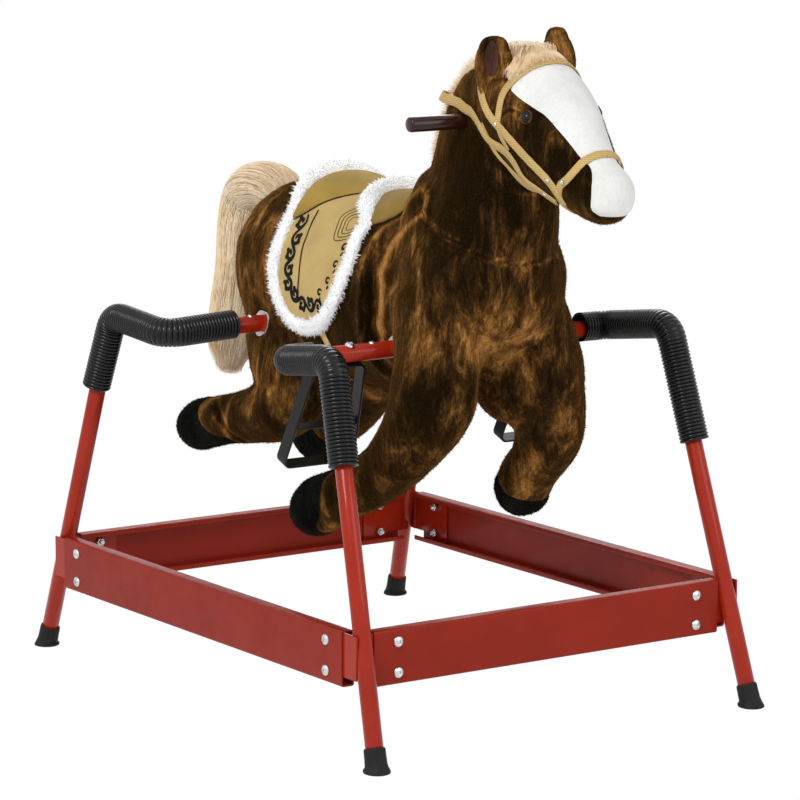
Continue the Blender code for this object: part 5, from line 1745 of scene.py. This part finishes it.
def scroll_border(form, sy):
    """A waved stem with a curl and two leaves in each wave's hollow."""
    spacing = 0.0016
    border = resampled([Vector((x, z, 0)) for x, z in smooth_line(BORDER, 6)], spacing)
    waves = 0.038
    size = 0.0082
    ink = []
    stem = []
    for i, p in enumerate(border):
        ahead = border[min(i + 1, len(border) - 1)] - border[max(i - 1, 0)]
        away = Vector((-ahead.y, ahead.x, 0)).normalized()
        s = i * spacing
        q = p + away * size * 0.75 * math.sin(math.tau * s / waves)
        stem.append((q.x, q.y))
        phase = (s / waves * 2) % 1
        if abs(phase - 0.5) < spacing / waves and 4 < i < len(border) - 4:
            turn = 1 if math.sin(math.tau * s / waves) > 0 else -1
            centre = p - away * turn * size * 0.35
            base = math.atan2(away.y * turn, away.x * turn)
            spiral = curl(centre, base, -1.05 * turn, size * 0.95, 0.0016)
            ink.append(flat_line(form, spiral, sy, 0.0060))
            for lean in (-0.7, 0.7):
                tip = p - away * turn * size * 1.30 + ahead.normalized() * lean * size
                leaf = [centre.lerp(tip, f) for f in np.linspace(0.35, 1, 5)]
                ink.append(flat_line(form, [(v.x, v.y) for v in leaf], sy, 0.0064))
    ink.append(flat_line(form, stem, sy, 0.0060))
    return ink


def build_print(form):
    """A scrolled border, small motifs, nested arcs and the piping, on both sides."""
    ink = []
    dark = []
    for sy in (-1, 1):
        ink += scroll_border(form, sy)
        for x, z in MOTIFS:
            ink.append(flat_line(form, curl((x, z), 0.6, 0.9, 0.0050, 0.0012), sy, 0.0034))
            ink.append(flat_line(form, [(x + 0.002, z - 0.006), (x - 0.001, z - 0.010)], sy, 0.0034))
        for i in range(4):
            arc = NEST_CENTRE + (smooth_line(NEST, 6) - NEST_CENTRE) * (1 - 0.2 * i)
            dark.append(flat_line(form, arc, sy, 0.0010))
        dark.append(flat_line(form, smooth_line(PIPING, 6), sy, 0.0024, 0.0004, 0.0012))
        # The seam along the seat's edge, widened and darkened as painted shadow under the cushion's edge
        dark.append(flat_line(form, smooth_line(SEAT[1:7], 6), sy, 0.0034, 0.0004, 0.0010))
    dress(add_mesh("saddle_print", *join_parts(ink), INK, 80))
    dress(add_mesh("saddle_seams_and_shade", *join_parts(dark), THREAD_AND_SHADE, 80))


def build_fleece(mesh):
    """Soft tufts all over the saddle's trim."""
    rng = np.random.default_rng(3)
    points, normals = mesh_points(mesh), mesh_normals(mesh)
    value = saddle_value(points)
    chosen = rng.permutation(len(points))[:12500]
    p, n, v = points[chosen], normals[chosen], value[chosen]
    step = 0.002
    rises = [saddle_value(p + move) - v for move in ((step, 0, 0), (0, 0, step))]
    count = len(p)
    slope = np.stack([rises[0], np.zeros(count), rises[1]], 1) / step
    outward = -slope * (1 - 2 * v / TRIM_W)[:, None]
    lay = np.stack([noise_field(p, 60, k) for k in range(3)], 1) * 0.5
    direction = n * 0.55 + outward * 0.8 + lay + rng.normal(0, 0.20, (count, 3))
    direction /= np.linalg.norm(direction, axis=1)[:, None]
    length = rng.uniform(0.0024, 0.0048, (count, 1))
    bend = rng.normal(0, 0.0016, (count, 3))
    f = np.linspace(0, 1, 3)[None, :, None]
    paths = (p - n * 0.001)[:, None] + (direction * length)[:, None] * f + bend[:, None] * f * f
    strands("saddle_fleece", paths, 0.00060, FLEECE)


# Straps, as (x, y, z) points of the right side
NECK_STRAP = (
    (0.160, 0.000, 0.766), (0.165, -0.022, 0.768), (0.177, -0.038, 0.771), (0.203, -0.050, 0.769),
    (0.234, -0.050, 0.766), (0.251, -0.053, 0.761), (0.268, -0.056, 0.758), (0.282, -0.058, 0.751),
    (0.292, -0.057, 0.742), (0.301, -0.056, 0.731), (0.316, -0.056, 0.724), (0.333, -0.057, 0.720),
    (0.347, -0.055, 0.712), (0.356, -0.050, 0.702), (0.360, -0.043, 0.690), (0.370, -0.040, 0.682),
    (0.385, -0.037, 0.675), (0.409, -0.030, 0.662),
)
THROAT_STRAP = (
    (0.292, -0.058, 0.745), (0.301, -0.056, 0.731), (0.308, -0.052, 0.715), (0.316, -0.044, 0.701),
    (0.323, -0.032, 0.690), (0.331, -0.014, 0.676), (0.337, 0.000, 0.670),
)
CHEEK_STRAP = (
    (0.276, 0.000, 0.838), (0.279, -0.024, 0.828), (0.284, -0.044, 0.810), (0.289, -0.055, 0.795),
    (0.294, -0.059, 0.784), (0.307, -0.060, 0.766), (0.318, -0.061, 0.756), (0.330, -0.061, 0.748),
    (0.355, -0.058, 0.731), (0.378, -0.055, 0.714), (0.399, -0.049, 0.698), (0.414, -0.042, 0.684),
    (0.420, -0.036, 0.672), (0.424, -0.030, 0.660),
)
BROW_STRAP = (
    (0.330, -0.061, 0.748), (0.332, -0.060, 0.766), (0.333, -0.057, 0.781), (0.337, -0.051, 0.793),
    (0.343, -0.042, 0.804), (0.349, -0.025, 0.814), (0.354, 0.000, 0.819),
)
SHORT_STRAP = (
    (0.331, -0.060, 0.742), (0.335, -0.060, 0.733), (0.340, -0.058, 0.726), (0.345, -0.056, 0.718),
)
NOSE_STRAP = (
    (0.412, 0.000, 0.646), (0.416, -0.026, 0.656), (0.421, -0.038, 0.670), (0.427, -0.041, 0.682),
    (0.438, -0.039, 0.690), (0.447, -0.034, 0.701), (0.452, -0.026, 0.711), (0.457, -0.010, 0.718),
    (0.459, 0.000, 0.719),
)
RIVETS = ((0.329, -0.061, 0.748), (0.411, -0.043, 0.688), (0.394, -0.036, 0.671), (0.433, -0.040, 0.687))
GIRTH = (
    (-0.001, -0.099, 0.462), (0.006, -0.098, 0.452), (0.012, -0.095, 0.441), (0.009, -0.088, 0.427),
    (-0.004, -0.076, 0.412), (-0.024, -0.058, 0.399), (-0.048, -0.030, 0.389), (-0.062, 0.000, 0.386),
)


def ribbon(path, width, thick):
    """A flat strap with worn edges along (point, normal) pairs, as (points, faces)."""
    rings = []
    count = len(path)
    for i, (point, normal) in enumerate(path):
        tangent = (path[min(i + 1, count - 1)][0] - path[max(i - 1, 0)][0]).normalized()
        across = tangent.cross(normal).normalized()
        out = across.cross(tangent).normalized()
        if out.dot(normal) < 0:
            out = -out
        w = width / 2 * (1 + 0.025 * math.sin(i * 1.7))
        e = thick * 0.35
        pairs = (
            (w - e, thick), (w, thick - e), (w, 0), (0, -0.0004),
            (-w, 0), (-w, thick - e), (e - w, thick),
        )
        rings.append([point + across * a + out * b for a, b in pairs])
    return skin(rings)


def strap_path(form, points, lift, sy=-1, whole=False):
    """(point, normal) pairs along a strap laid on the body; whole straps run round to the other side."""
    line = [Vector(p) for p in space_line(points, 6)]
    if sy > 0:
        line = [Vector((p.x, -p.y, p.z)) for p in line]
    if whole:
        middle_first = abs(line[0].y) < abs(line[-1].y)
        mirrored = [Vector((p.x, -p.y, p.z)) for p in line]
        line = mirrored[:0:-1] + line if middle_first else line + mirrored[-2::-1]
    pairs = []
    for p in line:
        spot, normal = form.near(p)
        away = (p - spot).dot(normal)
        pairs.append((p if away > lift else spot + normal * lift, normal))
    points = softened([p for p, _ in pairs], 4)
    normals = softened([n for _, n in pairs], 12)
    return [(p, n.normalized()) for p, n in zip(points, normals)]


def rivet(spot, normal):
    return turned(spot, normal, ((-0.001, 0.0024), (0.0006, 0.0028), (0.0012, 0.0025),
                                 (0.0017, 0.0015), (0.0019, 0.0004)), 20)


def build_bridle(form):
    """Riveted webbing straps round the head and a looped strap round the neck."""
    thick = 0.0016
    lines = (
        (CHEEK_STRAP, 0.0024, 0.95), (NOSE_STRAP, 0.0010, 0.78), (BROW_STRAP, 0.0012, 0.80),
        (NECK_STRAP, 0.0030, 1.0), (THROAT_STRAP, 0.0012, 0.85),
    )
    straps = [ribbon(strap_path(form, line, lift, whole=True), WEB_W * share, thick)
              for line, lift, share in lines]
    rivets = []
    for sy in (-1, 1):
        straps.append(ribbon(strap_path(form, SHORT_STRAP, 0.0010, sy), WEB_W * 0.5, thick))
        for x, y, z in RIVETS:
            spot, normal = form.near((x, -sy * y, z))
            rivets.append(rivet(spot + normal * 0.0042, normal))
    obj = add_mesh("bridle_looks", *join_parts(straps), WEBBING, 50)
    dress(obj, "bridle_straps")
    dress(add_mesh("bridle_rivets", *join_parts(rivets), ZINC, 50))


def build_girth(form):
    shape = ribbon(strap_path(form, GIRTH, 0.0012, whole=True), WEB_W, 0.0016)
    dress(add_mesh("girth_looks", *shape, WEBBING, 50))


# Camera, lights and floor
def direct_rays(tree):
    """1 for rays from the camera, off gloss or through glass."""
    path = tree.nodes.new("ShaderNodeLightPath")
    value = path.outputs["Is Camera Ray"]
    for name in ("Is Glossy Ray", "Is Transmission Ray"):
        node = tree.nodes.new("ShaderNodeMath")
        node.operation = "MAXIMUM"
        tree.links.new(value, node.inputs[0])
        tree.links.new(path.outputs[name], node.inputs[1])
        value = node.outputs[0]
    return value


def build_camera():
    """A camera at the photo's viewing angle."""
    data = bpy.data.cameras.new("camera")
    data.lens = 169.86
    data.sensor_width = 36
    data.clip_end = 50
    camera = bpy.data.objects.new("camera", data)
    bpy.context.scene.collection.objects.link(camera)
    azimuth, elevation, distance = math.radians(55.79), math.radians(9.47), 4.8407
    away = Vector((math.sin(azimuth) * math.cos(elevation), -math.cos(azimuth) * math.cos(elevation),
                   math.sin(elevation)))
    target = Vector((0.0308 + STAND_X, -0.0003, 0.3676))
    camera.location = target + away * distance
    camera.rotation_euler = (-away).to_track_quat("-Z", "Y").to_euler()
    bpy.context.scene.camera = camera


def build_lamp(name, spot, size, power):
    """A round soft lamp that points at the horse's middle."""
    data = bpy.data.lights.new(name, "AREA")
    data.shape = "DISK"
    data.size = size
    data.energy = power
    obj = bpy.data.objects.new(name, data)
    obj.location = spot
    obj.rotation_euler = (Vector((0, 0, 0.4)) - Vector(spot)).to_track_quat("-Z", "Y").to_euler()
    bpy.context.scene.collection.objects.link(obj)


def build_world():
    """Soft light from all round, seen as plain white."""
    world = bpy.data.worlds.new("studio")
    bpy.context.scene.world = world
    world.use_nodes = True
    tree = world.node_tree
    tree.nodes.clear()
    mixed = tree.nodes.new("ShaderNodeMixShader")
    tree.links.new(direct_rays(tree), mixed.inputs[0])
    for socket, strength in ((1, 0.55), (2, 1.0)):
        background = tree.nodes.new("ShaderNodeBackground")
        background.inputs["Color"].default_value = (1, 1, 1, 1)
        background.inputs["Strength"].default_value = strength
        tree.links.new(background.outputs[0], mixed.inputs[socket])
    out = tree.nodes.new("ShaderNodeOutputWorld")
    tree.links.new(mixed.outputs[0], out.inputs["Surface"])


def build_floor():
    """A pale floor that keeps a little of the object's shadow."""
    size = 60
    floor = bpy.data.meshes.new("floor")
    corners = [(-size, -size, 0), (size, -size, 0), (size, size, 0), (-size, size, 0)]
    floor.from_pydata(corners, [], [(0, 1, 2, 3)])
    material = bpy.data.materials.new("floor")
    material.use_nodes = True
    tree = material.node_tree
    shader = tree.nodes["Principled BSDF"]
    shader.inputs["Base Color"].default_value = (0.95, 0.95, 0.95, 1)
    shader.inputs["Roughness"].default_value = 0.9
    glow = tree.nodes.new("ShaderNodeEmission")
    glow.inputs["Strength"].default_value = 1.0
    share = tree.nodes.new("ShaderNodeMath")
    share.operation = "MULTIPLY"
    share.inputs[1].default_value = 0.985
    tree.links.new(direct_rays(tree), share.inputs[0])
    mixed = tree.nodes.new("ShaderNodeMixShader")
    tree.links.new(share.outputs[0], mixed.inputs[0])
    tree.links.new(shader.outputs[0], mixed.inputs[1])
    tree.links.new(glow.outputs[0], mixed.inputs[2])
    tree.links.new(mixed.outputs[0], tree.nodes["Material Output"].inputs["Surface"])
    floor.materials.append(material)
    obj = bpy.data.objects.new("floor", floor)
    bpy.context.scene.collection.objects.link(obj)


def build_stage():
    build_camera()
    build_lamp("key", (1.2, -2.6, 2.6), 1.4, 62)
    build_lamp("fill", (3.0, 0.8, 1.6), 2.0, 22)
    build_lamp("back", (-2.2, 1.6, 2.4), 1.6, 34)
    build_world()
    build_floor()
    bpy.context.scene.view_settings.view_transform = "Standard"


def main():
    build_stage()
    build_rails()
    build_legs()
    build_rail_bolts()
    build_covers()
    build_springs()
    build_cross_tubes()
    build_stirrups()
    build_handle()
    form = Form(0.004)
    build_body(form)
    build_tail()
    build_mane()
    build_forelock(form)
    build_ears()
    build_eyes(form)
    build_hole_linings(form)
    build_saddle(form)
    build_bridle(form)
    build_girth(form)
    # The inner frame keeps its CAD shape, as it shows only through the holes
    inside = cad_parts["inner_frame"]
    inside.data.materials.clear()
    inside.data.materials.append(SPRING_STEEL)


main()
